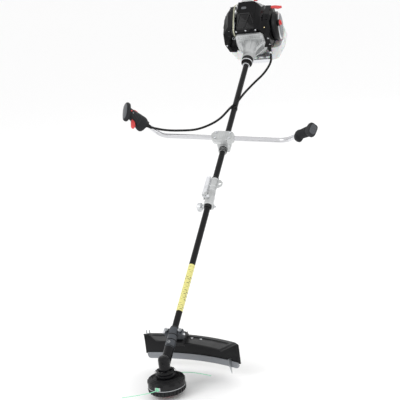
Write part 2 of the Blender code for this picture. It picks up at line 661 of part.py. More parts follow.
# ---- throttle cable ----
CABLE_ROUTE = [
    (-0.2937, -0.1486, 1.0730), (-0.2800, -0.1335, 1.0745), (-0.2600, -0.1195, 1.0790), (-0.2300, -0.1025, 1.0860),
    (-0.1830, -0.0865, 1.0960), (-0.1170, -0.0660, 1.1180), (-0.0690, -0.0480, 1.1600), (-0.0360, -0.0300, 1.2170),
    (-0.0110, -0.0182, 1.2880), (0.0150, -0.0172, 1.3300), (0.0340, -0.0160, 1.3790), (0.0620, -0.0080, 1.4480),
    (0.0890, 0.0080, 1.5270), (0.1000, 0.0220, 1.6100), (0.0910, 0.0240, 1.6700), (0.0800, 0.0120, 1.7080),
]


def throttle_cable(home):
    curve = bpy.data.curves.new("throttle_cable", "CURVE")
    curve.dimensions = "3D"
    curve.bevel_depth = 0.0048
    curve.bevel_resolution = 2
    curve.use_fill_caps = True
    points = smooth_points(CABLE_ROUTE, 4)
    spline = curve.splines.new("POLY")
    spline.points.add(len(points) - 1)
    for knot, point in zip(spline.points, points):
        knot.co = (*point, 1.0)
    curve.materials.append(material("rubber"))
    obj = bpy.data.objects.new("throttle_cable", curve)
    bpy.context.scene.collection.objects.link(obj)
    obj.parent = home


# ---- clutch and engine, in the shaft frame ----
def isolator_collar(home):
    profile = [(TUBE_BORE, 1.5760), (0.0175, 1.5760), (0.0175, 1.5880), (0.0235, 1.5880), (0.0245, 1.5920)]
    profile += [(0.0245, 1.6172), (TUBE_BORE, 1.6172)]
    part("isolator_collar", "rubber", home, turned(profile))


def clutch_housing(home):
    outside = [(TUBE_BORE, 1.6175), (0.0240, 1.6175), (0.0258, 1.6400), (0.0418, 1.7000), (0.0450, 1.7150)]
    outside += [(0.0680, 1.7190), (0.0700, 1.7230), (0.0700, 1.7560)]
    inside = [(0.0670, 1.7560), (0.0670, 1.7240), (0.0392, 1.7210), (0.0388, 1.7010), (0.0290, 1.6700)]
    inside += [(0.0133, 1.6690), (0.0133, 1.6450), (TUBE_BORE, 1.6450)]
    flange = block((-0.0600, -0.0220, 1.7015), (0.0430, 0.0200, 1.7180), 0.002)
    cone_room = rod(0.0386, (0, 0, 1.7008), (0, 0, 1.7300), 28)
    rib_outline = [(0.024, 1.650), (0.0430, 1.7060), (0.034, 1.7060), (0.022, 1.664)]
    ribs = [prism(rib_outline, -0.003, 0.003, "y"), prism([(-x, z) for x, z in rib_outline], -0.003, 0.003, "y")]
    part("clutch_housing", "cast_aluminium", home, turned(outside + inside, 28), join=[flange, *ribs], cut=[cone_room])


def clutch_drum(home):
    profile = [(0, 1.6480), (0.0060, 1.6480), (0.0060, 1.6500), (0.0128, 1.6500), (0.0128, 1.6620)]
    profile += [(0.0060, 1.6620), (0.0060, 1.7050), (0.0350, 1.7050), (0.0350, 1.7380), (0.0322, 1.7380)]
    profile += [(0.0322, 1.7080), (0, 1.7080)]
    part("clutch_drum", "steel", home, turned(profile))


def clutch_shoes(home):
    ring = turned([(0.0063, 1.7110), (0.0314, 1.7110), (0.0314, 1.7360), (0.0063, 1.7360)])
    slots = [block((-0.035, -0.0015, 1.700), (-0.0120, 0.0015, 1.745)), block((0.0120, -0.0015, 1.700), (0.035, 0.0015, 1.745))]
    part("clutch_shoes", "steel", home, ring, cut=slots)


def flywheel(home):
    rim, room, bore = 0.0620, 0.0410, 0.0084
    profile = [(rim, 1.7290, 0.80), (rim, 1.7550, 0.80), (bore, 1.7550, 1), (bore, 1.7422, 1)]
    profile += [(room, 1.7422, 1), (room, 1.7290, 1)]
    fan = rings([star(14, radius, height, depth) for radius, height, depth in profile], True)
    part("flywheel", "cast_aluminium", home, fan)


def crankshaft(home):
    journal = turned([(0, 1.7150), (0.0060, 1.7150), (0.0060, 1.7400), (0.0081, 1.7405), (0.0081, 1.7780), (0.0215, 1.7780),
                      (0.0215, 1.7860), (0, 1.7860)])
    pin = rod(0.0050, (0, -CRANK_THROW, 1.7850), (0, -CRANK_THROW, 1.7980), 12)
    part("crankshaft", "steel", home, journal, join=[pin])


def crankcase(home):
    outside = [(0.0084, 1.7563), (0.0690, 1.7563), (0.0690, 1.7610), (0.0420, 1.7625), (0.0420, 1.8500)]
    outside += [(0.0560, 1.8510), (0.0560, 1.8560), (0.0175, 1.8560)]
    inside = [(0.0175, 1.8370), (0.0330, 1.8370), (0.0330, 1.7760), (0.0084, 1.7760)]
    deck = block((-0.0300, DECK_Y + GAP, 1.7750), (0.0300, -0.0300, 1.8280))
    feet = block((-0.0400, 0.0300, 1.7700), (0.0400, 0.0710, 1.8450), 0.002)
    throat = rod(0.0228, (0, -0.0200, CYLINDER_Z), (0, -0.0500, CYLINDER_Z), 20)
    chamber = rod(0.0330, (0, 0, 1.7760), (0, 0, 1.8370), 24)
    part("crankcase", "cast_aluminium", home, turned(outside + inside), join=[deck, feet], cut=[chamber, throat])


def cylinder(home):
    """Finned barrel standing on the crankcase; heights are measured up from the deck."""
    profile = [(0.0300, 0), (0.0300, 0.005), (0.0262, 0.005)]
    for i in range(6):
        low = 0.010 + 0.0095 * i
        profile += [(0.0340, low), (0.0340, low + 0.003), (0.0262, low + 0.003)]
        if i < 5:
            profile.append((0.0262, low + 0.0095))
    profile += [(0.0262, CYLINDER_TALL), (0.0052, CYLINDER_TALL), (0.0052, 0.058), (0.0222, 0.050), (0.0222, 0)]
    barrel = turned(profile, 16, (0, DECK_Y, CYLINDER_Z), (0, -1, 0))
    exhaust = block((-0.0500, -0.0900, 1.7900), (-0.0245, -0.0640, 1.8130))
    intake = block((0.0245, -0.0820, 1.7900), (0.0440, -0.0560, 1.8130))
    ports = [rod(0.0075, (-0.056, -0.0770, CYLINDER_Z), (-0.015, -0.0770, CYLINDER_Z), 10)]
    ports.append(rod(0.0075, (0.015, -0.0690, CYLINDER_Z), (0.056, -0.0690, CYLINDER_Z), 10))
    part("cylinder", "cast_aluminium", home, barrel, join=[exhaust, intake], cut=ports)


def piston(home):
    wrist_y, z = WRIST_Y, CYLINDER_Z
    inner = PISTON_RADIUS - 0.003
    profile = [(inner, 0), (PISTON_RADIUS, 0), (PISTON_RADIUS, 0.025), (0, 0.025)]
    profile = [(0, 0.020), (inner, 0.020), *profile]
    skirt = turned(profile, 16, (0, wrist_y + 0.011, z), (0, -1, 0))
    wrist_pin = rod(0.0042, (0, wrist_y, z - 0.0195), (0, wrist_y, z + 0.0195), 10)
    part("piston", "cast_aluminium", home, skirt, join=[wrist_pin], origin=(0, wrist_y, z))


def connecting_rod(home):
    wrist_y, big_y = WRIST_Y, -CRANK_THROW
    low, high = 1.7985, 1.8045
    small_end = rod(0.0075, (0, wrist_y, low), (0, wrist_y, high), 14)
    big_end = rod(0.0090, (0, big_y, low), (0, big_y, high), 14)
    beam = block((-0.0040, wrist_y, low + 0.001), (0.0040, big_y, high - 0.001))
    holes = [rod(0.0046, (0, wrist_y, 1.79), (0, wrist_y, 1.82), 10), rod(0.0053, (0, big_y, 1.79), (0, big_y, 1.82), 10)]
    part("connecting_rod", "steel", home, small_end, join=[big_end, beam], cut=holes, origin=(0, wrist_y, CYLINDER_Z))


def spark_plug(home):
    """Plug with its boot on; heights are measured up from the cylinder's head."""
    profile = [(0, -0.010), (0.0049, -0.010), (0.0049, GAP), (0.0098, GAP), (0.0098, 0.0075), (0.0075, 0.0085)]
    profile += [(0.0088, 0.0100), (0.0088, 0.0260), (0.0065, 0.0300), (0, 0.0305)]
    head_y = DECK_Y - CYLINDER_TALL
    lead = sweep([(0, head_y - 0.027, CYLINDER_Z), (0, head_y - 0.027, 1.8200), (0.002, head_y - 0.022, 1.8330)], 0.0035, 8)
    part("spark_plug", "rubber", home, turned(profile, 12, (0, head_y, CYLINDER_Z), (0, -1, 0)), join=[lead])


def shrunk(section, thick, open_sides):
    """A section moved in by a wall thickness towards its middle, and out through its open sides."""
    middle = sum((Vector(point) for point in section), Vector()) / len(section)
    moved = []
    for point in section:
        point = Vector(point)
        inward = [thick if point[k] < middle[k] else -thick for k in range(2)]
        moved.append(Vector((point.x + inward[0], point.y + inward[1], point.z)))
    return [open_sides(point) for point in moved]


def fan_room():
    """Room that the cowls leave round the fan case, the plate behind it and the clutch housing's cone."""
    case = rod(0.0716, (0, 0, 1.7160), (0, 0, 1.7630), 28)
    return [case, rod(0.0560, (0, 0, 1.6900), (0, 0, 1.7300), 28)]


def engine_cowl(home):
    sections = [
        [(-0.0595, -0.026, 1.7115), (-0.0595, -0.078, 1.7115), (-0.046, -0.094, 1.7115), (0.034, -0.094, 1.7115),
         (0.0444, -0.084, 1.7115), (0.0444, -0.026, 1.7115)],
        [(-0.0595, -0.026, 1.768), (-0.0595, -0.114, 1.768), (-0.042, -0.140, 1.768), (0.032, -0.138, 1.768),
         (0.0444, -0.124, 1.768), (0.0444, -0.026, 1.768)],
        [(-0.0595, -0.026, 1.822), (-0.0595, -0.130, 1.822), (-0.042, -0.159, 1.822), (0.032, -0.156, 1.822),
         (0.0444, -0.142, 1.822), (0.0444, -0.026, 1.822)],
        [(-0.0595, -0.026, 1.868), (-0.0595, -0.102, 1.868), (-0.042, -0.116, 1.868), (0.032, -0.114, 1.868),
         (0.0444, -0.104, 1.868), (0.0444, -0.026, 1.868)],
    ]

    def opened(point):
        return Vector((point.x, 0.0 if point.y > -0.05 else point.y, point.z))

    hollow = [shrunk(section, 0.0025, opened) for section in sections]
    hollow[0] = [point + Vector((0, 0, 0.0030)) for point in hollow[0]]
    hollow[3] = [point + Vector((0, 0, 0.0100)) for point in hollow[3]]
    exhaust_gap = block((-0.070, -0.103, 1.7600), (-0.050, 0.010, 1.880))
    intake_gap = block((0.030, -0.100, 1.7700), (0.060, 0.010, 1.880))
    part("engine_cowl", "gloss_black", home, rings(sections, False),
         cut=[rings(hollow, False), exhaust_gap, intake_gap, *fan_room()], smooth=False)


def side_cowl(home):
    sections = [
        [(0.0450, 0.014, 1.7115), (0.0450, -0.060, 1.7115), (0.058, -0.070, 1.7115), (0.078, -0.062, 1.7115),
         (0.0900, -0.040, 1.7115), (0.0900, 0.012, 1.7115), (0.070, 0.018, 1.7115)],
        [(0.0450, 0.030, 1.750), (0.0450, -0.080, 1.750), (0.060, -0.090, 1.750), (0.084, -0.084, 1.750),
         (0.0950, -0.064, 1.750), (0.0950, 0.026, 1.750), (0.070, 0.040, 1.750)],
        [(0.0450, 0.036, 1.800), (0.0450, -0.092, 1.800), (0.062, -0.102, 1.800), (0.084, -0.099, 1.800),
         (0.0965, -0.082, 1.800), (0.0965, 0.032, 1.800), (0.070, 0.045, 1.800)],
        [(0.0450, 0.036, 1.868), (0.0450, -0.084, 1.868), (0.062, -0.094, 1.868), (0.084, -0.092, 1.868),
         (0.0965, -0.076, 1.868), (0.0965, 0.032, 1.868), (0.070, 0.045, 1.868)],
    ]

    def opened(point):
        return Vector((0.020 if point.x < 0.05 else point.x, point.y, point.z))

    hollow = [shrunk(section, 0.0025, opened) for section in sections]
    hollow[0] = [point + Vector((0, 0, 0.0030)) for point in hollow[0]]
    hollow[3] = [point + Vector((0, 0, 0.0100)) for point in hollow[3]]
    filter_port = rod(0.0095, (0.0895, -0.0620, CYLINDER_Z), (0.110, -0.0620, CYLINDER_Z), 12)
    part("side_cowl", "gloss_black", home, rings(sections, False),
         cut=[rings(hollow, False), filter_port, *fan_room()], smooth=False)


def muffler(home):
    can = block((-0.1040, -0.1000, 1.7650), (-0.0503, -0.0100, 1.8350), 0.006)
    outlet = rod(0.0065, (-0.080, -0.030, 1.7300), (-0.080, -0.030, 1.7700), 10)
    bore = rod(0.0045, (-0.080, -0.030, 1.7200), (-0.080, -0.030, 1.7680), 8)
    part("muffler", "steel", home, can, join=[outlet], cut=[bore])


def muffler_cover(home):
    front = [(-0.0625, -0.100, 1.735), (-0.090, -0.098, 1.730), (-0.114, -0.074, 1.712), (-0.117, -0.026, 1.700),
             (-0.103, 0.018, 1.697), (-0.074, 0.028, 1.705)]
    middle = [(-0.0625, -0.134, 1.790), (-0.092, -0.130, 1.790), (-0.120, -0.092, 1.790), (-0.124, -0.030, 1.790),
              (-0.110, 0.024, 1.790), (-0.074, 0.036, 1.790)]
    rear = [(-0.0625, -0.120, 1.845), (-0.092, -0.116, 1.845), (-0.120, -0.086, 1.845), (-0.124, -0.030, 1.845),
            (-0.108, 0.024, 1.845), (-0.074, 0.036, 1.845)]

    def opened(point):
        return Vector((-0.045 if point.x > -0.080 else point.x, point.y, point.z))

    hollow = [shrunk(section, 0.0025, opened) for section in (front, middle, rear)]
    hollow[0] = [point + Vector((0, 0, 0.0030)) for point in hollow[0]]
    hollow[2] = [point + Vector((0, 0, 0.0100)) for point in hollow[2]]
    cuts = [rings(hollow, False)]
    cuts += [block((-0.110, y, 1.68), (-0.085, y + 0.004, 1.76)) for y in (-0.060, -0.045, -0.030)]
    part("muffler_cover", "black_plastic", home, rings([front, middle, rear], False), cut=cuts, smooth=False)


def carburetor(home):
    body = block((0.0443, -0.0780, 1.7800), (0.0850, -0.0400, 1.8250), 0.002)
    flange = block((0.0840, -0.0740, 1.7860), (0.0912, -0.0440, 1.8180))
    throat = rod(0.0070, (0.040, -0.0620, CYLINDER_Z), (0.095, -0.0620, CYLINDER_Z), 12)
    spindle_hole = rod(0.0023, (0.070, -0.0850, 1.7900), (0.070, -0.0700, 1.7900), 8)
    bulb_seat = rod(0.0108, (0.0640, -0.0590, 1.8218), (0.0640, -0.0590, 1.8300), 14)
    part("carburetor", "cast_aluminium", home, body, join=[flange], cut=[throat, spindle_hole, bulb_seat])


def throttle_arm(home):
    pivot = (0.070, -0.0783, 1.7900)
    spindle = rod(0.0020, (0.070, -0.0860, 1.7900), (0.070, -0.0720, 1.7900), 8)
    arm = block((0.0670, -0.0830, 1.7870), (0.0880, -0.0790, 1.7930))
    part("throttle_arm", "zinc", home, arm, join=[spindle], origin=pivot)


def primer_bulb(home):
    profile = [(0, 0), (0.0100, 0), (0.0100, 0.003), (0.0080, 0.008), (0.0040, 0.011), (0, 0.0118)]
    at = (0.0640, -0.0590, 1.8253)
    part("primer_bulb", "tank_plastic", home, turned(profile, 14, at, (0, 0, 1)), origin=at)


def filter_outline(inset=0.0):
    """The air filter cover's lens-shaped outline in (y, z)."""
    points = []
    for i in range(20):
        angle = math.tau * i / 20
        points.append((-0.022 + (0.066 - inset) * math.cos(angle), 1.806 + (0.062 - inset) * math.sin(angle)))
    return points


def air_filter_cover(home):
    plate = prism(filter_outline(), 0.0975, 0.1240, "x")
    face = rings([[(0.1238, y, z) for y, z in filter_outline()], [(0.1300, y, z) for y, z in filter_outline(0.012)]], False)
    hollow = prism(filter_outline(0.003), 0.1000, 0.1225, "x")
    mouth = rod(0.0095, (0.090, -0.0620, CYLINDER_Z), (0.105, -0.0620, CYLINDER_Z), 12)
    part("air_filter_cover", "black_plastic", home, plate, join=[face], cut=[hollow, mouth])


def filter_knob(home):
    at = (0.1303, -0.0560, 1.7860)
    grip = turned([(0, 0), (0.0120, 0), (0.0120, 0.003), (0.0095, 0.0045), (0, 0.0045)], 16, at, (1, 0, 0))
    bar = block((at[0] + 0.004, -0.0680, 1.7835), (at[0] + 0.0090, -0.0440, 1.7885), 0.001)
    part("filter_knob", "red_plastic", home, grip, join=[bar], origin=at)


def choke_lever(home):
    pivot = (0.0930, -0.0980, 1.8450)
    outline = [(0.0895, 1.8400), (0.0970, 1.8370), (0.1250, 1.8290), (0.1420, 1.8330), (0.1400, 1.8450)]
    outline += [(0.1080, 1.8530), (0.0900, 1.8520)]
    wing = prism(outline, -0.1020, -0.0980, "y")
    spindle = rod(0.0025, (0.0930, -0.0900, 1.8450), (0.0930, -0.1000, 1.8450), 8)
    part("choke_lever", "red_plastic", home, wing, join=[spindle], origin=pivot)


def fuel_tank(home):
    def section(z, grow):
        outline = [(-0.118, 0.0475), (-0.124, 0.070), (-0.104, 0.112), (-0.050, 0.132), (0.050, 0.134), (0.100, 0.116)]
        outline += [(0.124, 0.076), (0.120, 0.0475), (0.086, 0.0490), (0.062, 0.0725), (-0.062, 0.0725)]
        outline.append((-0.086, 0.0490))
        return [(x * grow, 0.09 + (y - 0.09) * grow if y > 0.075 else y, z) for x, y in outline]

    sections = [section(1.742, 0.86), section(1.752, 0.97), section(1.800, 1.0), section(1.862, 1.0), section(1.876, 0.95)]
    inner = [[(x * 0.965, 0.09 + (y - 0.09) * 0.90, z) for x, y, z in outline] for outline in sections[1:4]]
    neck = rod(0.0170, (-0.062, 0.096, 1.868), (-0.062, 0.096, 1.8860), 16)
    mouth = rod(0.0140, (-0.062, 0.096, 1.850), (-0.062, 0.096, 1.900), 16)
    part("fuel_tank", "tank_plastic", home, rings(sections, False), join=[neck], cut=[rings(inner, False), mouth])


def fuel_cap(home):
    at = (-0.062, 0.096, 1.8863)
    profile = [(0, 0), (0.0210, 0), (0.0210, 0.0110), (0.0190, 0.0130), (0, 0.0130)]
    bar = block((-0.078, 0.094, 1.8985), (-0.046, 0.098, 1.9050), 0.001)
    part("fuel_cap", "black_plastic", home, turned(profile, 20, at, (0, 0, 1)), join=[bar], origin=at)


def starter_housing(home):
    outside = [(0, 1.9020), (0.0450, 1.9000), (0.0600, 1.8850), (0.0600, 1.8563)]
    inside = [(0.0575, 1.8563), (0.0575, 1.8840), (0.0440, 1.8970), (0, 1.8990)]
    guide = block((-0.0400, -0.0900, 1.8725), (-0.0200, -0.0400, 1.8895), 0.002)
    rope_way = rod(0.0025, (-0.030, -0.0950, 1.8810), (-0.030, -0.0350, 1.8810), 8)
    vents = [block((x - 0.002, -0.030, 1.890), (x + 0.002, 0.030, 1.910)) for x in (-0.024, -0.012, 0.0, 0.012, 0.024)]
    part("starter_housing", "black_plastic", home, turned(outside + inside), join=[guide], cut=[rope_way, *vents])


def starter_pulley(home):
    profile = [(0.0050, 1.8750), (0.0320, 1.8750), (0.0320, 1.8775), (0.0280, 1.8790), (0.0280, 1.8830), (0.0320, 1.8845)]
    profile += [(0.0320, 1.8870), (0.0050, 1.8870)]
    part("starter_pulley", "grey_plastic", home, turned(profile, 20))


def starter_handle(home):
    at = (-0.030, -0.0903, 1.8810)
    stem = block((-0.0370, -0.1080, 1.8755), (-0.0230, -0.0903, 1.8865), 0.0015)
    bar = block((-0.0520, -0.1240, 1.8730), (0.0020, -0.1060, 1.8890), 0.005)
    part("starter_handle", "pale_cap", home, stem, join=[bar], origin=at)


def engine_stand(home):
    plate = block((-0.020, 0.0708, 1.6930), (0.078, 0.0738, 1.7400))
    foot = block((-0.020, 0.0708, 1.6920), (0.078, 0.0880, 1.6950))
    slots = [block((x, 0.060, 1.7020), (x + 0.018, 0.080, 1.7120)) for x in (-0.010, 0.020, 0.050)]
    part("engine_stand", "zinc", home, plate, join=[foot], cut=slots)


def build():
    clear_scene()
    frames = make_frames()
    head, shaft, bar = frames["head"], frames["shaft"], frames["bar"]
    for maker in (bump_button, spool, head_cover, head_housing, spool_spring, holder_flange, output_spindle):
        maker(head)
    trimmer_line("line_back", 1, head)
    trimmer_line("line_front", -1, head)
    gearcase(head, shaft)
    guard_shell(head, shaft)
    guard_skirt(head)
    line_cutter(head)
    for maker in (input_pinion, drive_shaft, shaft_tubes, guard_bracket, coupler_body, coupler_lever, coupler_knob, lock_pin):
        maker(shaft)
    clamp_base(bar)
    clamp_cap(bar)
    handlebar("handlebar_left", -1, 0.0, bar)
    handlebar("handlebar_right", 1, RIGHT_ROLL, bar)
    grip_shell("grip_shell_upper", 1, frames["left_grip"])
    grip_shell("grip_shell_lower", -1, frames["left_grip"])
    trigger(frames["left_grip"])
    lockout(frames["left_grip"])
    stop_switch(frames["left_grip"])
    plain_grip(frames["right_grip"])
    throttle_cable(shaft)
    for maker in (isolator_collar, clutch_housing, clutch_drum, clutch_shoes, flywheel, crankshaft, crankcase, cylinder):
        maker(shaft)
    for maker in (piston, connecting_rod, spark_plug, engine_cowl, side_cowl, muffler, muffler_cover, carburetor):
        maker(shaft)
    for maker in (throttle_arm, primer_bulb, air_filter_cover, filter_knob, choke_lever, fuel_tank, fuel_cap):
        maker(shaft)
    for maker in (starter_housing, starter_pulley, starter_handle, engine_stand):
        maker(shaft)


build()
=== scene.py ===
import json
from math import cos, pi, radians, sin, sqrt, tau

import bmesh
import bpy
from mathutils import Matrix, Vector


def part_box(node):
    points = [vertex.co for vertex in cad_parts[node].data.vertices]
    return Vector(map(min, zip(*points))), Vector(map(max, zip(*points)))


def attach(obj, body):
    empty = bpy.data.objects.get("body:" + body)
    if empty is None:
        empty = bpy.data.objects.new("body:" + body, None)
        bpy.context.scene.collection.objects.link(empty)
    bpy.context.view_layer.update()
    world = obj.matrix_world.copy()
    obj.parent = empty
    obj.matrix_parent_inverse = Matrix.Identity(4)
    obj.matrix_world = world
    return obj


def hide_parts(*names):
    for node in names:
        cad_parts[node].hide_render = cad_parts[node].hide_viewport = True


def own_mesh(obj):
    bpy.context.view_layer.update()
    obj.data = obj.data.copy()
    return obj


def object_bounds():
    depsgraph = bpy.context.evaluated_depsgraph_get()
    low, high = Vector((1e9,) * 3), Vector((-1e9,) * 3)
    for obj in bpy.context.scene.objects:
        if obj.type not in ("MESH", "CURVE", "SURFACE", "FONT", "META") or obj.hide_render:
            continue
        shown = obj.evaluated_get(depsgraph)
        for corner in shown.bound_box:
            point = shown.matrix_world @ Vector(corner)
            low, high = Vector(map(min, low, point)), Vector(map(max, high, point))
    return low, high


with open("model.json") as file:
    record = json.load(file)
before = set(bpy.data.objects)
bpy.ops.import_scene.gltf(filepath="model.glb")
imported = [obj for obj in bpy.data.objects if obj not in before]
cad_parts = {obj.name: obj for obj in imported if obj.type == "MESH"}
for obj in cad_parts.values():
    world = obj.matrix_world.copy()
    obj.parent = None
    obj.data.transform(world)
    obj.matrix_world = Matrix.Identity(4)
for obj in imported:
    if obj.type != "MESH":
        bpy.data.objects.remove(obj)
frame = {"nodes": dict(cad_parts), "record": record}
cad_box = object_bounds()

# ---- frames, from the model's own driving dimensions ----
SHAFT_LEAN = radians(57.0)
AXES_MEET = 0.107
TUBE_RADIUS = 0.012
BAR_Z = 1.085
BAR_OFFSET = 0.042
BAR_TURN = radians(7.0)
BAR_RADIUS = 0.01
BAR_WALL = 0.0015
BAR_BEND_X = 0.2588
BAR_BEND_REACH = 0.03
BAR_RISE = (0.69, 0.72)
GRIP_START = 0.0928
RIGHT_ROLL = radians(-24.0)
GUARD_CENTRE = (-0.1, -0.435)
GUARD_RADIUS = 0.67
GUARD_FROM = radians(-5.6)
GUARD_TO = radians(29.5)
CUTTER_AT = radians(26.0)
GUARD_DEPTH = 0.085
GUARD_TOP = 0.1405
GUARD_HEM = 0.056
SKIRT_HEM = 0.04
WALL = 0.003
CONDUIT = 0.0096  # outer diameter of the throttle conduit

HEAD = Matrix.Identity(4)
SHAFT = Matrix.Translation((0, 0, AXES_MEET)) @ Matrix.Rotation(-SHAFT_LEAN, 4, "X")
BAR = SHAFT @ Matrix.Translation((0, 0, BAR_Z)) @ Matrix.Rotation(BAR_TURN, 4, "Z")


def rise_vector(roll):
    return Vector((0, -cos(roll), sin(roll)))


def bar_point(side, roll, along, up):
    return Vector((side * along, -BAR_OFFSET, 0)) + rise_vector(roll) * up


def grip_point(side, roll, distance):
    """A point on the bar's rising end, measured from its bend."""
    out, up = BAR_RISE
    return bar_point(side, roll, BAR_BEND_X + out * distance, up * distance)


def grip_frame(side, roll):
    """Grip frame: z out along the bar's end, x to the front of the grip."""
    start = grip_point(side, roll, GRIP_START)
    out = (grip_point(side, roll, GRIP_START + 0.1) - start).normalized()
    front = Vector((0, 0, -1))
    front = (front - out * front.dot(out)).normalized()
    turn = Matrix((front, out.cross(front), out)).transposed().to_4x4()
    return BAR @ Matrix.Translation(start) @ turn


LEFT_GRIP = grip_frame(-1, 0.0)
RIGHT_GRIP = grip_frame(1, RIGHT_ROLL)


def span(node, home):
    """A CAD node's lowest and highest corners in the home frame."""
    away = home.inverted()
    points = [away @ vertex.co for vertex in frame["nodes"][node].data.vertices]
    low = Vector([min(point[i] for point in points) for i in range(3)])
    high = Vector([max(point[i] for point in points) for i in range(3)])
    return low, high


# ---- camera and light ----
def make_camera():
    data = bpy.data.cameras.new("camera")
    data.sensor_width = 36.0
    data.lens = 100.62
    data.clip_end = 100.0
    camera = bpy.data.objects.new("camera", data)
    bpy.context.scene.collection.objects.link(camera)
    right, up, back = (0.94021, 0.32101, -0.11382), (0.02807, 0.26002, 0.96519), (0.33943, -0.91068, 0.23547)
    turn = Matrix((right, up, back)).transposed().to_4x4()
    camera.matrix_world = Matrix.Translation((1.46009, -3.36956, 1.57473)) @ turn
    bpy.context.scene.camera = camera


def area_light(name, place, target, size, power, colour=(1.0, 1.0, 1.0)):
    data = bpy.data.lights.new(name, "AREA")
    data.shape = "RECTANGLE"
    data.size, data.size_y = size
    data.energy = power
    data.color = colour
    light = bpy.data.objects.new(name, data)
    bpy.context.scene.collection.objects.link(light)
    light.location = place
    light.rotation_mode = "QUATERNION"
    light.rotation_quaternion = (Vector(target) - Vector(place)).to_track_quat("-Z", "Y")


def make_studio():
    bpy.context.scene.view_settings.view_transform = "Standard"
    world = bpy.data.worlds.new("studio")
    bpy.context.scene.world = world
    world.use_nodes = True
    sky = world.node_tree.nodes["Background"]
    sky.inputs["Color"].default_value = (1.0, 1.0, 1.0, 1.0)
    sky.inputs["Strength"].default_value = 1.0
    middle = (0.0, 0.75, 0.6)
    area_light("key", (-2.6, -2.6, 3.4), middle, (2.2, 2.2), 60)
    area_light("fill", (3.2, -1.6, 2.0), middle, (2.0, 2.4), 12)
    area_light("back", (0.6, 4.2, 2.8), middle, (2.6, 1.6), 18)
    floor_mesh = bmesh.new()
    bmesh.ops.create_grid(floor_mesh, x_segments=8, y_segments=8, size=45.0)
    data = bpy.data.meshes.new("floor")
    floor_mesh.to_mesh(data)
    floor_mesh.free()
    floor = bpy.data.objects.new("floor", data)
    floor.location = (0, 0, cad_box[0].z - 0.0005)
    bpy.context.scene.collection.objects.link(floor)
    data.materials.append(plain_floor())


def plain_floor():
    paper = bpy.data.materials.new("floor_paper")
    paper.use_nodes = True
    surface = paper.node_tree.nodes["Principled BSDF"]
    surface.inputs["Base Color"].default_value = (0.97, 0.97, 0.97, 1.0)
    surface.inputs["Roughness"].default_value = 0.85
    surface.inputs["Specular IOR Level"].default_value = 0.2
    return paper


# ---- materials ----
class Shader:
    """A Principled material with small helpers for wiring its procedural detail."""

    def __init__(self, name):
        self.material = bpy.data.materials.new(name)
        self.material.use_nodes = True
        self.tree = self.material.node_tree
        self.surface = self.tree.nodes["Principled BSDF"]
        self.place = self.tree.nodes.new("ShaderNodeTexCoord").outputs["Object"]

    def link(self, start, end):
        self.tree.links.new(start, end)

    def node(self, kind, values, links):
        """A new node's outputs, with values on its sockets and other outputs linked into them."""
        node = self.tree.nodes.new("ShaderNode" + kind)
        for socket, value in values.items():
            node.inputs[socket].default_value = value
        for socket, start in links.items():
            self.link(start, node.inputs[socket])
        return node.outputs

    def surface_values(self, values):
        for socket, value in values.items():
            self.surface.inputs[socket].default_value = value

    def along_shaft(self, stretch=(1, 1, 1)):
        """Coordinates turned into the shaft's frame, then stretched."""
        turn = {"Rotation": (SHAFT_LEAN, 0, 0), "Location": (0, -AXES_MEET * sin(-SHAFT_LEAN), 0)}
        turned_place = self.node("Mapping", turn, {"Vector": self.place})["Vector"]
        return self.node("Mapping", {"Scale": stretch}, {"Vector": turned_place})["Vector"]

    def noise(self, scale, detail=3.0, place=None):
        values = {"Scale": scale, "Detail": detail, "Roughness": 0.55}
        return self.node("TexNoise", values, {"Vector": place or self.place})["Fac"]

    def ramp(self, value, stops):
        node = self.tree.nodes.new("ShaderNodeValToRGB")
        ramp = node.color_ramp
        while len(ramp.elements) < len(stops):
            ramp.elements.new(0.5)
        for element, (at, colour) in zip(ramp.elements, stops):
            element.position = at
            element.color = (*colour, 1.0)
        self.link(value, node.inputs["Fac"])
        return node.outputs["Color"]

    def mix(self, factor, first, second):
        node = self.tree.nodes.new("ShaderNodeMix")
        node.data_type = "RGBA"
        self.link(factor, node.inputs["Factor"])
        self.link(first, node.inputs["A"])
        if isinstance(second, tuple):
            node.inputs["B"].default_value = (*second, 1.0)
        else:
            self.link(second, node.inputs["B"])
        return node.outputs["Result"]

    def colour(self, output):
        self.link(output, self.surface.inputs["Base Color"])

    def rough(self, value, low, high):
        limits = {"From Min": 0.3, "From Max": 0.7, "To Min": low, "To Max": high}
        self.link(self.node("MapRange", limits, {"Value": value})["Result"], self.surface.inputs["Roughness"])

    def bump(self, value, strength, distance):
        bump = self.node("Bump", {"Strength": strength, "Distance": distance}, {"Height": value})
        self.link(bump["Normal"], self.surface.inputs["Normal"])

    def edges(self):
        """White along worn outer edges."""
        pointiness = self.node("NewGeometry", {}, {})["Pointiness"]
        return self.ramp(pointiness, [(0.52, (0, 0, 0)), (0.6, (1, 1, 1))])


def shade(colour, factor):
    return tuple(min(1.0, value * factor) for value in colour)


def moulded(name, colour, roughness, grain=1400.0, strength=0.25, vary=0.25, coat=0.0, scuff=0.05, gloss=0.5):
    """Moulded plastic or rubber: fine pebbled skin, slow changes of tone, and paler worn edges."""
    s = Shader(name)
    slow = s.noise(22.0, 4.0)
    tone = s.ramp(slow, [(0.3, shade(colour, 1 - vary)), (0.7, shade(colour, 1 + vary))])
    s.colour(s.mix(s.edges(), tone, tuple(min(1.0, value + scuff) for value in colour)))
    s.rough(slow, roughness - 0.05, roughness + 0.08)
    s.bump(s.noise(grain, 2.0), strength, 0.0002)
    s.surface_values({"Coat Weight": coat, "Coat Roughness": 0.08, "Specular IOR Level": gloss})
    return s.material


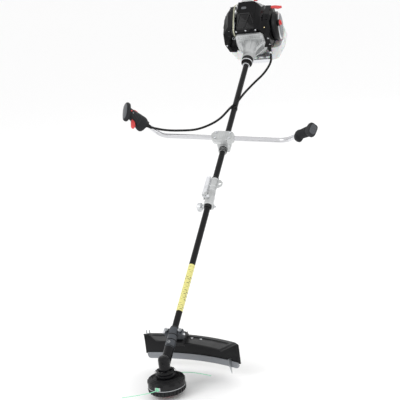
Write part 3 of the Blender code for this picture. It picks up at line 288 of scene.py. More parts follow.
def cast(name, colour, roughness, metallic=0.85, grain=650.0):
    """Die-cast metal: sandy skin, slow changes of tone and bright edges."""
    s = Shader(name)
    slow = s.noise(35.0, 5.0)
    tone = s.ramp(slow, [(0.28, shade(colour, 0.78)), (0.5, colour), (0.75, shade(colour, 1.12))])
    s.colour(s.mix(s.edges(), tone, shade(colour, 1.3)))
    s.rough(slow, roughness - 0.06, roughness + 0.12)
    s.bump(s.noise(grain, 3.0), 0.35, 0.0004)
    s.surface_values({"Metallic": metallic})
    return s.material


def drawn(name, colour, roughness, metallic=1.0, stretch=(1, 1, 0.03), gloss=0.5):
    """Drawn, rolled or painted tube: fine lines along the shaft under the finish."""
    s = Shader(name)
    lines = s.noise(900.0, 2.0, s.along_shaft(stretch))
    slow = s.noise(14.0, 3.0)
    tone = s.ramp(lines, [(0.3, shade(colour, 0.9)), (0.7, shade(colour, 1.08))])
    s.colour(s.mix(s.edges(), tone, shade(colour, 1.4)))
    s.rough(slow, roughness - 0.05, roughness + 0.08)
    s.bump(lines, 0.06, 0.0001)
    s.surface_values({"Metallic": metallic, "Coat Roughness": 0.06, "Specular IOR Level": gloss})
    return s.material


def clear_tank(name):
    """Natural polyethylene: milky, slightly see-through, with moulding flow marks."""
    s = Shader(name)
    slow = s.noise(30.0, 4.0)
    s.colour(s.ramp(slow, [(0.3, (0.8, 0.81, 0.8)), (0.7, (0.93, 0.94, 0.93))]))
    s.rough(slow, 0.26, 0.38)
    s.bump(s.noise(420.0, 2.0), 0.12, 0.0004)
    s.surface_values({"Transmission Weight": 0.25, "IOR": 1.51, "Subsurface Weight": 0.25,
                      "Subsurface Scale": 0.01})
    return s.material


def sticker(name, ground, ink):
    """A pale wrap with plain dark bars of uneven length and no writing."""
    s = Shader(name)
    apart = s.node("SeparateXYZ", {}, {"Vector": s.along_shaft()})
    flat = s.node("CombineXYZ", {}, {"X": apart["X"], "Y": apart["Z"]})["Vector"]
    layout = {"Scale": 1.0, "Mortar Size": 0.0022, "Mortar Smooth": 0.0, "Brick Width": 0.013,
              "Row Height": 0.0085,
              "Bias": -0.1, "Color1": (*ground, 1.0), "Color2": (*ink, 1.0), "Mortar": (*ground, 1.0)}
    bars = s.node("TexBrick", layout, {"Vector": flat})["Color"]
    worn = s.ramp(s.noise(60.0), [(0.35, (0.06, 0.06, 0.06)), (0.65, (0.0, 0.0, 0.0))])
    s.colour(s.mix(worn, bars, ground))
    s.rough(s.noise(80.0), 0.28, 0.42)
    s.bump(s.noise(900.0), 0.05, 0.0001)
    return s.material


FINISHES = {
    "black_plastic": (moulded, (0.006, 0.006, 0.007), 0.36, 1400, 0.25, 0.25, 0.0, 0.012, 0.16),
    "gloss_black": (moulded, (0.002, 0.002, 0.0025), 0.12, 2200, 0.03, 0.2, 0.0, 0.006, 0.16),
    "black_paint": (drawn, (0.005, 0.005, 0.006), 0.28, 0.0, (1, 1, 0.2), 0.2),
    "red_plastic": (moulded, (0.62, 0.025, 0.025), 0.34, 1200, 0.12, 0.12, 0.2),
    "dark_red": (moulded, (0.42, 0.01, 0.02), 0.4, 1100, 0.2, 0.15),
    "cast_aluminium": (cast, (0.5, 0.51, 0.51), 0.4, 0.75),
    "silver_paint": (cast, (0.58, 0.59, 0.6), 0.34, 0.55, 1500),
    "bar_steel": (drawn, (0.62, 0.62, 0.64), 0.2, 1.0, (0.04, 1, 1)),
    "grey_sleeve": (drawn, (0.055, 0.06, 0.068), 0.36, 0.5),
    "steel": (cast, (0.36, 0.37, 0.38), 0.3, 1.0, 1800),
    "zinc": (cast, (0.6, 0.61, 0.63), 0.26, 0.95, 1600),
    "rubber": (moulded, (0.009, 0.009, 0.009), 0.66, 900, 0.4, 0.25, 0.0, 0.015, 0.18),
    "soft_grip": (moulded, (0.011, 0.012, 0.014), 0.58, 1000, 0.4, 0.25, 0.0, 0.02, 0.25),
    "grey_plastic": (moulded, (0.2, 0.21, 0.23), 0.42, 1100, 0.25, 0.12),
    "white_lever": (cast, (0.72, 0.73, 0.75), 0.3, 0.35, 1400),
    "tank_plastic": (clear_tank,),
    "nylon_line": (moulded, (0.22, 0.72, 0.42), 0.26, 700, 0.1, 0.1, 0.3),
    "pale_cap": (moulded, (0.68, 0.68, 0.67), 0.42, 1000, 0.2, 0.08),
    "label": (sticker, (0.74, 0.69, 0.24), (0.05, 0.05, 0.03)),
    "panel": (moulded, (0.5, 0.51, 0.53), 0.3, 800, 0.06, 0.05),
    "face_grey": (moulded, (0.035, 0.04, 0.048), 0.3, 1300, 0.12, 0.12, 0.2),
    "filter_grey": (moulded, (0.16, 0.17, 0.18), 0.3, 1200, 0.12, 0.15, 0.2),
    "seam_metal": (cast, (0.46, 0.46, 0.36), 0.28, 0.9),
    "bare_copper": (cast, (0.75, 0.62, 0.35), 0.3, 1.0),
}


def make_materials():
    return {name: make(name, *values) for name, (make, *values) in FINISHES.items()}


# ---- shapes ----
def closed(mesh):
    bmesh.ops.recalc_face_normals(mesh, faces=mesh.faces)
    return mesh


def aim(at, toward):
    return Matrix.Translation(at) @ Vector(toward).to_track_quat("Z", "Y").to_matrix().to_4x4()


def rings(loops, wrap):
    """Quads between equal loops; wrap joins the last loop to the first, or else the ends are capped."""
    mesh = bmesh.new()
    made = [[mesh.verts.new(point) for point in loop] for loop in loops]
    count = len(made[0])
    pairs = list(zip(made, made[1:]))
    if wrap:
        pairs.append((made[-1], made[0]))
    for near, far in pairs:
        for i in range(count):
            j = (i + 1) % count
            mesh.faces.new((near[i], near[j], far[j], far[i]))
    if not wrap:
        mesh.faces.new(made[0])
        mesh.faces.new(made[-1])
    bmesh.ops.triangulate(mesh, faces=mesh.faces[:])
    return closed(mesh)


def turned(profile, steps=24, at=(0, 0, 0), toward=(0, 0, 1)):
    """A turned solid. profile is (radius, height): a closed ring, or from the axis back to the axis."""
    solid = profile[0][0] == 0 and profile[-1][0] == 0
    mesh = bmesh.new()
    rows = []
    for radius, height in profile:
        if radius == 0:
            rows.append([mesh.verts.new((0, 0, height))])
            continue
        angles = [tau * i / steps for i in range(steps)]
        rows.append([mesh.verts.new((radius * cos(a), radius * sin(a), height)) for a in angles])
    pairs = list(zip(rows, rows[1:]))
    if not solid:
        pairs.append((rows[-1], rows[0]))
    for low, high in pairs:
        for i in range(steps):
            j = (i + 1) % steps
            if len(low) == 1:
                mesh.faces.new((low[0], high[j], high[i]))
            elif len(high) == 1:
                mesh.faces.new((low[i], low[j], high[0]))
            else:
                mesh.faces.new((low[i], low[j], high[j], high[i]))
    mesh.transform(aim(at, toward))
    return closed(mesh)


def block(low, high, bevel=0.0):
    mesh = bmesh.new()
    bmesh.ops.create_cube(mesh, size=1.0)
    low, high = Vector(low), Vector(high)
    mesh.transform(Matrix.Translation((low + high) / 2) @ Matrix.Diagonal((*(high - low), 1.0)))
    if bevel:
        bmesh.ops.bevel(mesh, geom=mesh.edges[:], offset=bevel, segments=1, affect="EDGES")
    return closed(mesh)


def sweep(points, radius, sides=10, bore=0.0):
    """A round bar along a path, or a tube when it has a bore; radius is one number or one for each point."""
    points = [Vector(point) for point in points]
    radii = radius if isinstance(radius, list) else [radius] * len(points)
    outer, inner, side = [], [], None
    for i, point in enumerate(points):
        ahead = (points[min(i + 1, len(points) - 1)] - points[max(i - 1, 0)]).normalized()
        if side is None:
            side = ahead.orthogonal().normalized()
        side = (side - ahead * side.dot(ahead)).normalized()
        other = ahead.cross(side)
        ring = [side * cos(a) + other * sin(a) for a in (tau * k / sides for k in range(sides))]
        outer.append([point + spoke * radii[i] for spoke in ring])
        inner.append([point + spoke * bore for spoke in ring])
    return rings(outer + inner[::-1], True) if bore else rings(outer, False)


def loft(levels, steps=16):
    """A lofted solid; levels are (height, half width in x, half width in y, shift in x, squareness)."""
    loops = []
    for height, wide, deep, shift, square in levels:
        loop = []
        for angle in (tau * i / steps for i in range(steps)):
            across, over = cos(angle), sin(angle)
            reach = (abs(across) ** square + abs(over) ** square) ** (-1 / square)
            loop.append((shift + wide * across * reach, deep * over * reach, height))
        loops.append(loop)
    return rings(loops, False)


def smooth_points(route, per_span, mirrored=True):
    """Points on a Catmull-Rom curve through a route, whose ends are mirrored or else repeated."""
    route = [Vector(point) for point in route]
    first, last = (route[0] * 2 - route[1], route[-1] * 2 - route[-2]) if mirrored else (route[0], route[-1])
    ends = [first, *route, last]
    points = []
    for a, b, c, d in zip(ends, ends[1:], ends[2:], ends[3:]):
        for t in (k / per_span for k in range(per_span)):
            near = 2 * b + (c - a) * t
            far = (2 * a - 5 * b + 4 * c - d) * t**2 + (3 * b - a - 3 * c + d) * t**3
            points.append((near + far) / 2)
    points.append(route[-1])
    return points


# ---- the throttle conduit's route, in the shaft frame ----
CABLE_ROUTE = [
    (-0.2937, -0.1486, 1.073), (-0.28, -0.1335, 1.0745), (-0.26, -0.1195, 1.079), (-0.23, -0.1025, 1.086),
    (-0.183, -0.0865, 1.096), (-0.117, -0.066, 1.118), (-0.069, -0.048, 1.16), (-0.036, -0.03, 1.217),
    (-0.011, -0.0182, 1.288), (0.015, -0.0172, 1.33), (0.034, -0.016, 1.379), (0.062, -0.008, 1.448),
    (0.089, 0.008, 1.527), (0.1, 0.022, 1.61), (0.091, 0.024, 1.67), (0.08, 0.012, 1.708),
]


# ---- pieces ----
CREASE = radians(32)  # edges that turn more than this stay sharp


def piece(name, mesh, slot, body="frame", home=SHAFT, material=None, replaces=(), bevel=0.0):
    """One visible piece on a CAD body, from a mesh or a list of them in the home frame."""
    if isinstance(mesh, list):
        mesh = joined(*mesh)
    bmesh.ops.recalc_face_normals(mesh, faces=mesh.faces[:])
    mesh.transform(home)
    for face in mesh.faces:
        face.smooth = True
    for edge in mesh.edges:
        edge.smooth = not (edge.is_manifold and edge.calc_face_angle() > CREASE)
    data = bpy.data.meshes.new(name)
    mesh.to_mesh(data)
    mesh.free()
    obj = bpy.data.objects.new(name, data)
    bpy.context.scene.collection.objects.link(obj)
    data.materials.append(finishes[material or slot])
    if bevel:
        rounding(obj, bevel)
    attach(obj, body)
    if replaces:
        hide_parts(*replaces)
    return obj


def rounding(obj, width):
    modifier = obj.modifiers.new("rounded_edges", "BEVEL")
    modifier.width = width
    modifier.segments = 2
    modifier.limit_method = "ANGLE"
    modifier.angle_limit = radians(30)
    modifier.harden_normals = True


def joined(*meshes):
    """Several closed shapes as one mesh."""
    whole = bmesh.new()
    for mesh in meshes:
        data = bpy.data.meshes.new("joining")
        mesh.to_mesh(data)
        mesh.free()
        whole.from_mesh(data)
        bpy.data.meshes.remove(data)
    return whole


def screw(at, toward, radius=0.0036, height=0.0022):
    """A domed head with a hexagon socket; it stands on the surface at a point."""
    socket, depth = radius * 0.52, height * 0.35
    profile = [(0, depth), (socket, depth), (socket, height * 0.98), (radius * 0.72, height)]
    profile += [(radius * 0.93, height * 0.78), (radius, height * 0.35), (radius, -0.0012), (0, -0.0012)]
    return turned(profile, 24, at, toward)


def disc(radius, low, high, steps, at, toward):
    return turned([(0, low), (radius, low), (radius, high), (0, high)], steps, at, toward)


def hex_nut(at, toward, radius=0.0055, height=0.0045):
    washer = disc(radius * 1.35, -0.0006, 0.0008, 32, at, toward)
    body = disc(radius, 0, height, 6, at, toward)
    thread = disc(radius * 0.5, 0, height * 1.5, 20, at, toward)
    return joined(washer, body, thread)


def ring_of(count, make, turn=0.0):
    return joined(*[make(turn + tau * i / count) for i in range(count)])


def flat_bar(start, end, width, thick, up):
    """A flat bar from one point to another, thick along up."""
    start, end, up = Vector(start), Vector(end), Vector(up).normalized()
    along = (end - start).normalized()
    across = along.cross(up).normalized() * width / 2
    lift = up * thick / 2
    return rings([[point + across + lift, point - across + lift, point - across - lift, point + across - lift]
                  for point in (start, end)], False)


def torus(radius, thick, at, toward, steps=40):
    angles = [tau * k / 12 for k in range(12)]
    return turned([(radius + thick * cos(a), thick * sin(a)) for a in angles], steps, at, toward)


def polar(radius, angle, height=0.0):
    return Vector((radius * cos(angle), radius * sin(angle), height))


def staves(count, low, high, width, thick, turn=0.0, at=(0, 0, 0), toward=(0, 0, 1), flat=False):
    """Bars round an axis between two (radius, height) places; flat ones are thick along the axis."""
    def stave(a):
        up = (0, 0, 1) if flat else polar(1, a)
        return flat_bar(polar(low[0], a, low[1]), polar(high[0], a, high[1]), width, thick, up)

    mesh = ring_of(count, stave, turn)
    mesh.transform(aim(at, toward))
    return mesh


def bands_at(heights, inner, outer, rises, steps=48):
    """Raised bands at heights; rises lead from each one to the outer face's two ends and the far edge."""
    near, far, end = rises
    return [turned([(inner, z), (outer, z + near), (outer, z + far), (inner, z + end)], steps)
            for z in heights]


def scaled_loft(rows, wide, deep, square, steps):
    """A loft of rows that are (height, share of the half width, share of the half depth)."""
    return loft([(height, wide * across, deep * over, 0, square) for height, across, over in rows], steps)


# ---- CAD nodes that stay: finish and edge rounding ----
ROUNDED = {
    "engine_cowl": 0.0022, "side_cowl": 0.0022, "muffler_cover": 0.0018, "fuel_tank": 0.004,
    "coupler_body": 0.0007, "coupler_lever": 0.0014, "clamp_base": 0.001, "clamp_cap": 0.001,
    "clutch_housing": 0.0008, "guard_bracket": 0.0008, "gearcase": 0.0005, "starter_handle": 0.0018,
    "starter_housing": 0.001, "engine_stand": 0.0006, "throttle_trigger": 0.0016, "lockout_lever": 0.0014,
    "choke_lever": 0.0009, "filter_knob": 0.0006, "fuel_cap": 0.0008, "crankcase": 0.0008,
}


def finish_nodes():
    slots = {part["node"]: part["material_slot"] for part in frame["record"]["subparts"]}
    for name, obj in frame["nodes"].items():
        obj.data.materials.clear()
        obj.data.materials.append(finishes[slots[name]])
        if name in ROUNDED:
            weld = obj.modifiers.new("weld", "WELD")
            weld.merge_threshold = 0.00002
            rounding(obj, ROUNDED[name])
            obj.modifiers["rounded_edges"].use_clamp_overlap = True
    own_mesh(frame["nodes"]["spool_spring"])


# ---- cutting head ----
def build_head():
    low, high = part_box("head_housing")
    radius = high.x
    middle = (low.z + high.z) / 2
    grips = staves(28, (radius * 0.985, 0.0215), (radius * 1.004, 0.0355), 0.0042, 0.003)
    piece("head_grip_ribs", grips, "black_plastic", "head", home=HEAD, bevel=0.0006)
    wall, level = radius * 1.001, middle + 0.0035

    def pad(a):
        ends = polar(wall, a - 0.16, level), polar(wall, a + 0.16, level)
        return flat_bar(*ends, 0.0085, 0.0022, polar(1, a))

    pads = ring_of(10, pad, 0.35)
    piece("head_wall_pads", pads, "black_plastic", "head", home=HEAD, bevel=0.0007)
    seam = turned([(radius - 0.001, 0.0372), (radius + 0.0008, 0.0376), (radius + 0.0008, 0.0396),
                   (radius - 0.001, 0.04)], 72)
    piece("head_seam_ring", seam, "steel", "head", home=HEAD)
    shoulder = [(0.047, 0.0668), (0.0478, 0.0698), (0.05, 0.0702), (0.0512, 0.0676)]
    steps = [turned([(r, z - 0.002), (r + 0.0006, z + 0.0008), (r + 0.0022, z + 0.0004),
                     (r + 0.0028, z - 0.002)], 72)
             for r, z in ((0.04, 0.0692), (0.0548, 0.0668), (0.0612, 0.0644))]
    piece("head_top_fins", joined(turned(shoulder, 64), *steps), "black_plastic", "head", home=HEAD,
          bevel=0.0004)
    for name, side in (("front", -1), ("back", 1)):
        out = Vector((0.13, 0.9915, 0)).normalized() * side
        exit_level = Vector((0, 0, 0.0475))
        across = out.cross(Vector((0, 0, 1)))
        middle = out * (radius + 0.0004) + exit_level
        frame_plate = flat_bar(middle - across * 0.01, middle + across * 0.01, 0.012, 0.0024, out)
        piece(f"line_window_{name}", frame_plate, "black_plastic", "head", home=HEAD, material="panel",
              bevel=0.001)
        eyelet = joined(torus(0.0052, 0.0018, out * (radius + 0.0018) + exit_level, out),
                        turned([(0.0034, -0.006), (0.0056, -0.006), (0.0056, 0.001), (0.0034, 0.001)], 32,
                               out * radius + exit_level, out))
        piece(f"line_eyelet_{name}", eyelet, "zinc", "head", home=HEAD, material="nylon_line")
    build_flange()
    build_bump_button()


def build_flange():
    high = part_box("holder_flange")[1]
    rim, top = high.x, high.z
    notches = staves(20, (rim, top - 0.0045), (rim, top - 0.0005), 0.003, 0.0016)
    dust = turned([(rim * 0.8, top - 0.001), (rim * 0.92, top - 0.001), (rim * 0.9, top + 0.0012),
                   (rim * 0.82, top + 0.0012)], 64)
    piece("flange_rim", joined(notches, dust), "black_paint", "head", home=HEAD, bevel=0.0003)


def build_bump_button():
    ribs = staves(12, (0.0085, 0.0011), (0.0205, 0.0011), 0.0022, 0.0018, flat=True)
    collar = turned([(0.0245, 0.003), (0.0262, 0.0046), (0.0262, 0.007), (0.025, 0.0086)], 56)
    flutes = staves(24, (0.0258, 0.006), (0.0258, 0.0125), 0.0022, 0.0016)
    piece("bump_button_grip", joined(ribs, collar, flutes), "dark_red", "bump", home=HEAD)


# ---- guard ----
def guard_point(angle, radius, height):
    return Vector((GUARD_CENTRE[0] + radius * sin(angle), GUARD_CENTRE[1] + radius * cos(angle), height))


def guard_sweep(section, start, end, steps):
    """section(share) gives (radius, height) points at that share of the way round."""
    loops = []
    for i in range(steps + 1):
        share = i / steps
        angle = start + (end - start) * share
        loops.append([guard_point(angle, radius, height) for radius, height in section(share)])
    return rings(loops, False)


def ease(value):
    value = max(0.0, min(1.0, value))
    return value * value * (3 - 2 * value)


def guard_cover_section(share):
    """Top plate, rounded shoulder and hanging wall; both ends draw in and the plate narrows to the left."""
    end = min(ease(share / 0.06), ease((1 - share) / 0.035))
    depth = GUARD_DEPTH * (0.1 + 0.9 * ease(share / 0.24))
    hem = GUARD_HEM + 0.003 * (1 - end)
    inner, outer, top = GUARD_RADIUS - depth, GUARD_RADIUS, GUARD_TOP - 0.004 * (1 - end)
    points = [(inner, top - 0.002), (inner + 0.003, top)]
    for k in range(7):
        turn = pi / 2 * k / 6
        points.append((outer - 0.009 + 0.009 * sin(turn), top - 0.009 + 0.009 * cos(turn)))
    points += [(outer, hem + 0.006), (outer + 0.0012, hem + 0.004), (outer + 0.0012, hem),
               (outer - WALL, hem)]
    for k in range(7):
        turn = pi / 2 * (1 - k / 6)
        points.append((outer - WALL - 0.008 + 0.008 * sin(turn), top - WALL - 0.008 + 0.008 * cos(turn)))
    points += [(inner + 0.003, top - WALL), (inner, top - WALL)]
    return points


def guard_skirt_section(share):
    end = min(share / 0.035, (1 - share) / 0.035, 1.0)
    hem = SKIRT_HEM + 0.012 * (1 - sqrt(max(0.0, 1 - (1 - end) ** 2)))
    outer = GUARD_RADIUS - WALL - 0.0008
    return [(outer - WALL, GUARD_HEM + 0.007), (outer, GUARD_HEM + 0.007), (outer, hem + 0.004),
            (outer + 0.003, hem + 0.003),
            (outer + 0.003, hem), (outer - WALL, hem)]


def build_guard():
    piece("guard_cover", guard_sweep(guard_cover_section, GUARD_FROM, GUARD_TO, 96), "black_plastic",
          home=HEAD,
          replaces=["guard_shell"])
    piece("guard_skirt_panel", guard_sweep(guard_skirt_section, GUARD_FROM + radians(0.5),
                                           GUARD_TO - radians(0.5), 96), "grey_plastic", home=HEAD,
          replaces=["guard_skirt"])
    boss = block((-0.032, 0.0304, 0.125), (0.032, 0.058, 0.175), 0.004)
    webs = joined(*[flat_bar((x, 0.056, 0.13), (x, 0.066, 0.19), 0.003, 0.02, (0, 1, 0))
                    for x in (-0.024, 0.0, 0.024)])
    piece("guard_mount_boss", joined(boss, webs), "black_plastic", bevel=0.001)

    def bead(share):
        ridge = GUARD_RADIUS - 0.026
        lift = 0.0028 * min(ease(share / 0.04), ease((1 - share) / 0.04))
        return [(ridge - 0.004, GUARD_TOP - 0.001), (ridge - 0.002, GUARD_TOP + lift),
                (ridge + 0.002, GUARD_TOP + lift),
                (ridge + 0.004, GUARD_TOP - 0.001)]

    piece("guard_top_bead", guard_sweep(bead, GUARD_FROM + 0.05, GUARD_TO - 0.03, 72), "black_plastic",
          home=HEAD)
    for name, degrees in (("inner", 13.2), ("outer", 16.8)):
        place = guard_point(radians(degrees), GUARD_RADIUS - 0.04, GUARD_TOP)
        piece(f"guard_screw_{name}", screw(place, (0, 0, 1), 0.0048, 0.003), "zinc", home=HEAD)
    rivets = []
    for k in range(6):
        angle = GUARD_FROM + (GUARD_TO - GUARD_FROM) * (0.1 + 0.16 * k)
        out = Vector((sin(angle), cos(angle), 0))
        rivets.append(screw(guard_point(angle, GUARD_RADIUS + 0.0002, GUARD_HEM + 0.014), out, 0.004, 0.0022))
    piece("guard_skirt_screws", rivets, "steel", home=HEAD)
    pins = [turned([(0, 0), (0.0022, 0), (0.0022, 0.012), (0.0012, 0.015), (0, 0.015)], 16,
                   guard_point(GUARD_FROM + turn, GUARD_RADIUS - 0.012, GUARD_TOP - 0.001))
                   for turn in (0.022, 0.04)]
    piece("guard_end_pins", pins, "steel", home=HEAD)
    cutter_bolts = [screw(guard_point(CUTTER_AT - 0.0012, GUARD_RADIUS - 0.015, z),
                               (-cos(CUTTER_AT), sin(CUTTER_AT), 0), 0.003, 0.002) for z in (0.062, 0.071)]
    piece("cutter_screws", cutter_bolts, "zinc", home=HEAD)
    build_bracket()


def build_bracket():
    low, high = span("guard_bracket", SHAFT)
    nuts = [hex_nut((x, low.y + 0.0045, 0.1468), (0, -1, 0)) for x in (-0.0265, 0.0265)]
    piece("bracket_nuts", nuts, "steel")
    strap = flat_bar((high.x - 0.014, 0.002, 0.15), (high.x + 0.003, 0.016, 0.15), 0.024, 0.0022,
                     (0, -1, 0.6))
    tab = flat_bar((low.x + 0.012, 0.002, 0.152), (low.x - 0.01, 0.006, 0.152), 0.018, 0.0022, (0, -1, 0.3))
    piece("bracket_plates", joined(strap, tab), "zinc", bevel=0.0006)
    bands = bands_at((0.0765, 0.104, 0.1265), 0.018, 0.019, (0.001, 0.003, 0.004))
    piece("bracket_sleeve_bands", bands, "black_paint")
    groove = turned([(0.0123, 0.1572), (0.0172, 0.1572), (0.0158, 0.164), (0.0123, 0.1655)], 48)
    piece("bracket_gasket", groove, "rubber")
    piece("sleeve_bolt", screw((0, -0.015, 0.092), (0, -1, 0), 0.0052, 0.006), "steel")


# ---- tube, label and coupler ----
TUBE_SKIN = TUBE_RADIUS - 0.0002  # sleeves and seals reach this far into the tube's wall


def tube_sleeve(low, high, thick):
    radius = TUBE_RADIUS + thick
    return turned([(TUBE_SKIN, low), (radius, low), (radius, high), (TUBE_SKIN, high)], 48)


def build_tube():
    piece("tube_label", tube_sleeve(0.235, 0.45, 0.00025), "pale_cap", material="label")
    strap = joined(tube_sleeve(1.296, 1.304, 0.0014),
                   block((0.009, -0.015, 1.2965), (0.0165, -0.0085, 1.3035), 0.001))
    piece("cable_strap", strap, "rubber")
    end = turned([(TUBE_SKIN, 0.7385), (0.0142, 0.7385), (0.015, 0.7405), (0.015, 0.748),
                  (TUBE_SKIN, 0.7495)], 48)
    piece("coupler_seal", end, "rubber")


def build_coupler():
    low, high = span("coupler_knob", SHAFT)
    y, z = (low.y + high.y) / 2, (low.z + high.z) / 2
    flutes = staves(22, (0.017, low.x + 0.004), (0.017, low.x + 0.017), 0.0024, 0.002, at=(0, y, z),
                    toward=(1, 0, 0))
    cap = turned([(0, -0.0008), (0.0085, -0.0008), (0.0105, 0.0004), (0.0105, 0.0015), (0, 0.0015)], 40,
                 (low.x, y, z), (1, 0, 0))
    piece("coupler_knob_flutes", joined(flutes, cap), "silver_paint", "coupler_screw", bevel=0.0005)
    low, high = span("coupler_lever", SHAFT)
    middle = (low.y + high.y) / 2
    left, right, y, top = low.x + 0.0035, high.x - 0.0035, low.y + 0.004, high.z - 0.005
    corners = ((left, y, 0.818), (left, y, top)), ((right, y, 0.818), (right, y, top)), ((left, y, top),
        (right, y, top))
    rim = [flat_bar(start, end, 0.0014, 0.0012, (0, -1, 0)) for start, end in corners]
    pivot = disc(0.0042, -0.016, -0.0145, 28, (-0.027, middle, 0.806), (0, 1, 0))
    piece("coupler_lever_rim", joined(*rim, pivot), "white_lever", "coupler_latch", bevel=0.0003)
    bands = bands_at((0.826, 0.846, 0.884), 0.0148, 0.0158, (0.0008, 0.0032, 0.004))
    web = flat_bar((0.0145, 0.0, 0.7975), (0.0145, 0.0, 0.818), 0.0024, 0.007, (1, 0, 0))
    rim = turned([(0.0182, 0.75), (0.0196, 0.7508), (0.0196, 0.7535), (0.0182, 0.7545)], 48)
    piece("coupler_bands", joined(*bands, web, rim), "cast_aluminium")
    spring = [(0.0044 * cos(0.6 * k), -0.0235 - 0.00022 * k, 0.779 + 0.0044 * sin(0.6 * k))
              for k in range(22)]
    piece("lock_pin_spring", sweep(spring, 0.0005, 6), "steel")
    gasket = turned([(TUBE_SKIN, 0.8903), (0.0148, 0.8903), (0.014, 0.8975), (TUBE_SKIN, 0.899)], 48)
    piece("coupler_gasket", gasket, "rubber")


# ---- handlebar ----
def bar_path(side, roll):
    reach = BAR_BEND_REACH
    points = [bar_point(side, roll, 0.001 + 0.02 * k, 0) for k in range(4)]
    corner = bar_point(side, roll, BAR_BEND_X, 0)
    start = bar_point(side, roll, BAR_BEND_X - reach, 0)
    end = grip_point(side, roll, reach)
    for i in range(15):
        t = i / 14
        points.append(start * (1 - t) ** 2 + corner * 2 * t * (1 - t) + end * t**2)
    points.append(grip_point(side, roll, GRIP_START + 0.068))
    return points


def build_bars():
    for name, side, roll in (("left", -1, 0.0), ("right", 1, RIGHT_ROLL)):
        tube = sweep(bar_path(side, roll), BAR_RADIUS, 40, BAR_RADIUS - BAR_WALL)
        piece(f"bar_{name}", tube, "bar_steel", home=BAR, replaces=[f"handlebar_{name}"])
    low = span("clamp_cap", BAR)[0]
    heads = [screw((x, low.y + 0.001, z), (0, -1, 0), 0.0046, 0.004) for x in (-0.0285, 0.0285)
             for z in (-0.015, 0.015)]
    piece("clamp_screws", heads, "zinc", home=BAR)
    top = low.y + 0.0038
    ribs = [flat_bar((x, top, -0.017), (x, top, 0.017), 0.002, 0.003, (0, -1, 0))
            for x in (-0.016, -0.008, 0.0, 0.008, 0.016)]
    rims = [torus(0.0064, 0.0008, (x, top, z), (0, -1, 0), 32) for x in (-0.0285, 0.0285)
            for z in (-0.015, 0.015)]
    piece("clamp_cap_ribs", joined(*ribs, *rims), "cast_aluminium", home=BAR, bevel=0.0003)
    nuts = [hex_nut((x, -0.03, z), (0, 1, 0), 0.0046, 0.0036) for x in (-0.0345, 0.0345)
            for z in (-0.012, 0.012)]
    piece("clamp_nuts", nuts, "zinc", home=BAR)
    cup = [(TUBE_RADIUS + 0.0003, -0.0232), (0.0215, -0.0232), (0.024, -0.016), (0.0245, 0.0), (0.024, 0.016),
           (0.0215, 0.0232),
           (TUBE_RADIUS + 0.0003, 0.0232)]
    webs = [flat_bar((side * 0.023, -0.027, z), (side * 0.038, -0.031, z), 0.003, 0.014, (0, 1, 0))
            for side in (-1, 1) for z in (-0.015, 0.0, 0.015)]
    piece("clamp_base_cup", joined(turned(cup, 56), *webs), "cast_aluminium", home=BAR, bevel=0.0006)
    bush = bands_at((-0.041, -0.034, -0.0275), 0.015, 0.0168, (0.001, 0.004, 0.005))
    piece("clamp_bush_rings", bush, "rubber", home=BAR)


def throttle_grip_levels():
    base = [(-0.007, 0.0185, 0.014, 0.009), (-0.004, 0.0265, 0.0185, 0.01), (0.003, 0.033, 0.022, 0.012),
            (0.012, 0.0355, 0.0235, 0.0125),
            (0.024, 0.0335, 0.0225, 0.0105), (0.038, 0.029, 0.0205, 0.006), (0.054, 0.025, 0.019, 0.003),
            (0.07, 0.0225, 0.018, 0.001),
            (0.084, 0.022, 0.0178, 0.0), (0.092, 0.0225, 0.018, 0.0)]
    return [(*level, 2.3) for level in smooth_points(base, 4, False)]


def build_throttle_grip():
    piece("throttle_grip_body", loft(throttle_grip_levels(), 56), "soft_grip", home=LEFT_GRIP,
          replaces=["grip_shell_upper", "grip_shell_lower"])
    wide, deep = 0.0445, 0.02
    tilt = Matrix.Translation((0.003, 0, 0.0905)) @ Matrix.Rotation(radians(13.0), 4, "Y")
    slab = scaled_loft([(-0.009, 0.86, 0.8), (-0.007, 0.96, 0.94), (-0.0035, 1, 1), (0.004, 1, 1),
                        (0.0078, 0.95, 0.92), (0.0092, 0.86, 0.8)], wide, deep, 2.6, 72)
    piece("palm_stop", slab, "soft_grip", home=LEFT_GRIP @ tilt, bevel=0.0004)
    pad = scaled_loft([(0.0084, 0.86, 0.8), (0.0102, 0.84, 0.77), (0.011, 0.76, 0.66)], wide, deep, 2.4, 64)
    piece("palm_stop_pad", pad, "soft_grip", home=LEFT_GRIP @ tilt, material="face_grey")
    rim = scaled_loft([(0.0004, 1.006, 1.01), (0.0012, 1.012, 1.022), (0.002, 1.006, 1.01)], wide, deep, 2.6,
                      72)
    piece("palm_stop_bead", rim, "soft_grip", home=LEFT_GRIP @ tilt)
    bands = []
    for k in range(7):
        height = 0.03 + 0.0065 * k
        across, over, shift, square = min(throttle_grip_levels(), key=lambda row: abs(row[0] - height))[1:]
        bands.append(loft([(height + rise, across * wider, over * deeper, shift, square) for rise, wider,
                           deeper in (
            (-0.0014, 0.99, 0.99), (0, 1.025, 1.035), (0.0014, 0.99, 0.99))], 56))
    piece("throttle_grip_bands", bands, "soft_grip", home=LEFT_GRIP)
    screws = [screw((x, side * y, z), (0, side, 0), 0.003, 0.0016) for side in (1, -1) for x, y,
              z in ((0.016, 0.0205, 0.012), (0.004, 0.0172, 0.07))]
    piece("throttle_grip_screws", screws, "steel", home=LEFT_GRIP)
    bezel = block((-0.0085, 0.012, 0.0725), (0.0085, 0.019, 0.0865), 0.0015)
    piece("stop_switch_bezel", bezel, "black_plastic", home=LEFT_GRIP, bevel=0.0005)
    guide = turned([(BAR_RADIUS + 0.0004, -0.013), (0.0145, -0.013), (0.016, -0.006),
                    (BAR_RADIUS + 0.0004, -0.005)], 48)
    piece("throttle_grip_collar", guide, "rubber", home=LEFT_GRIP)


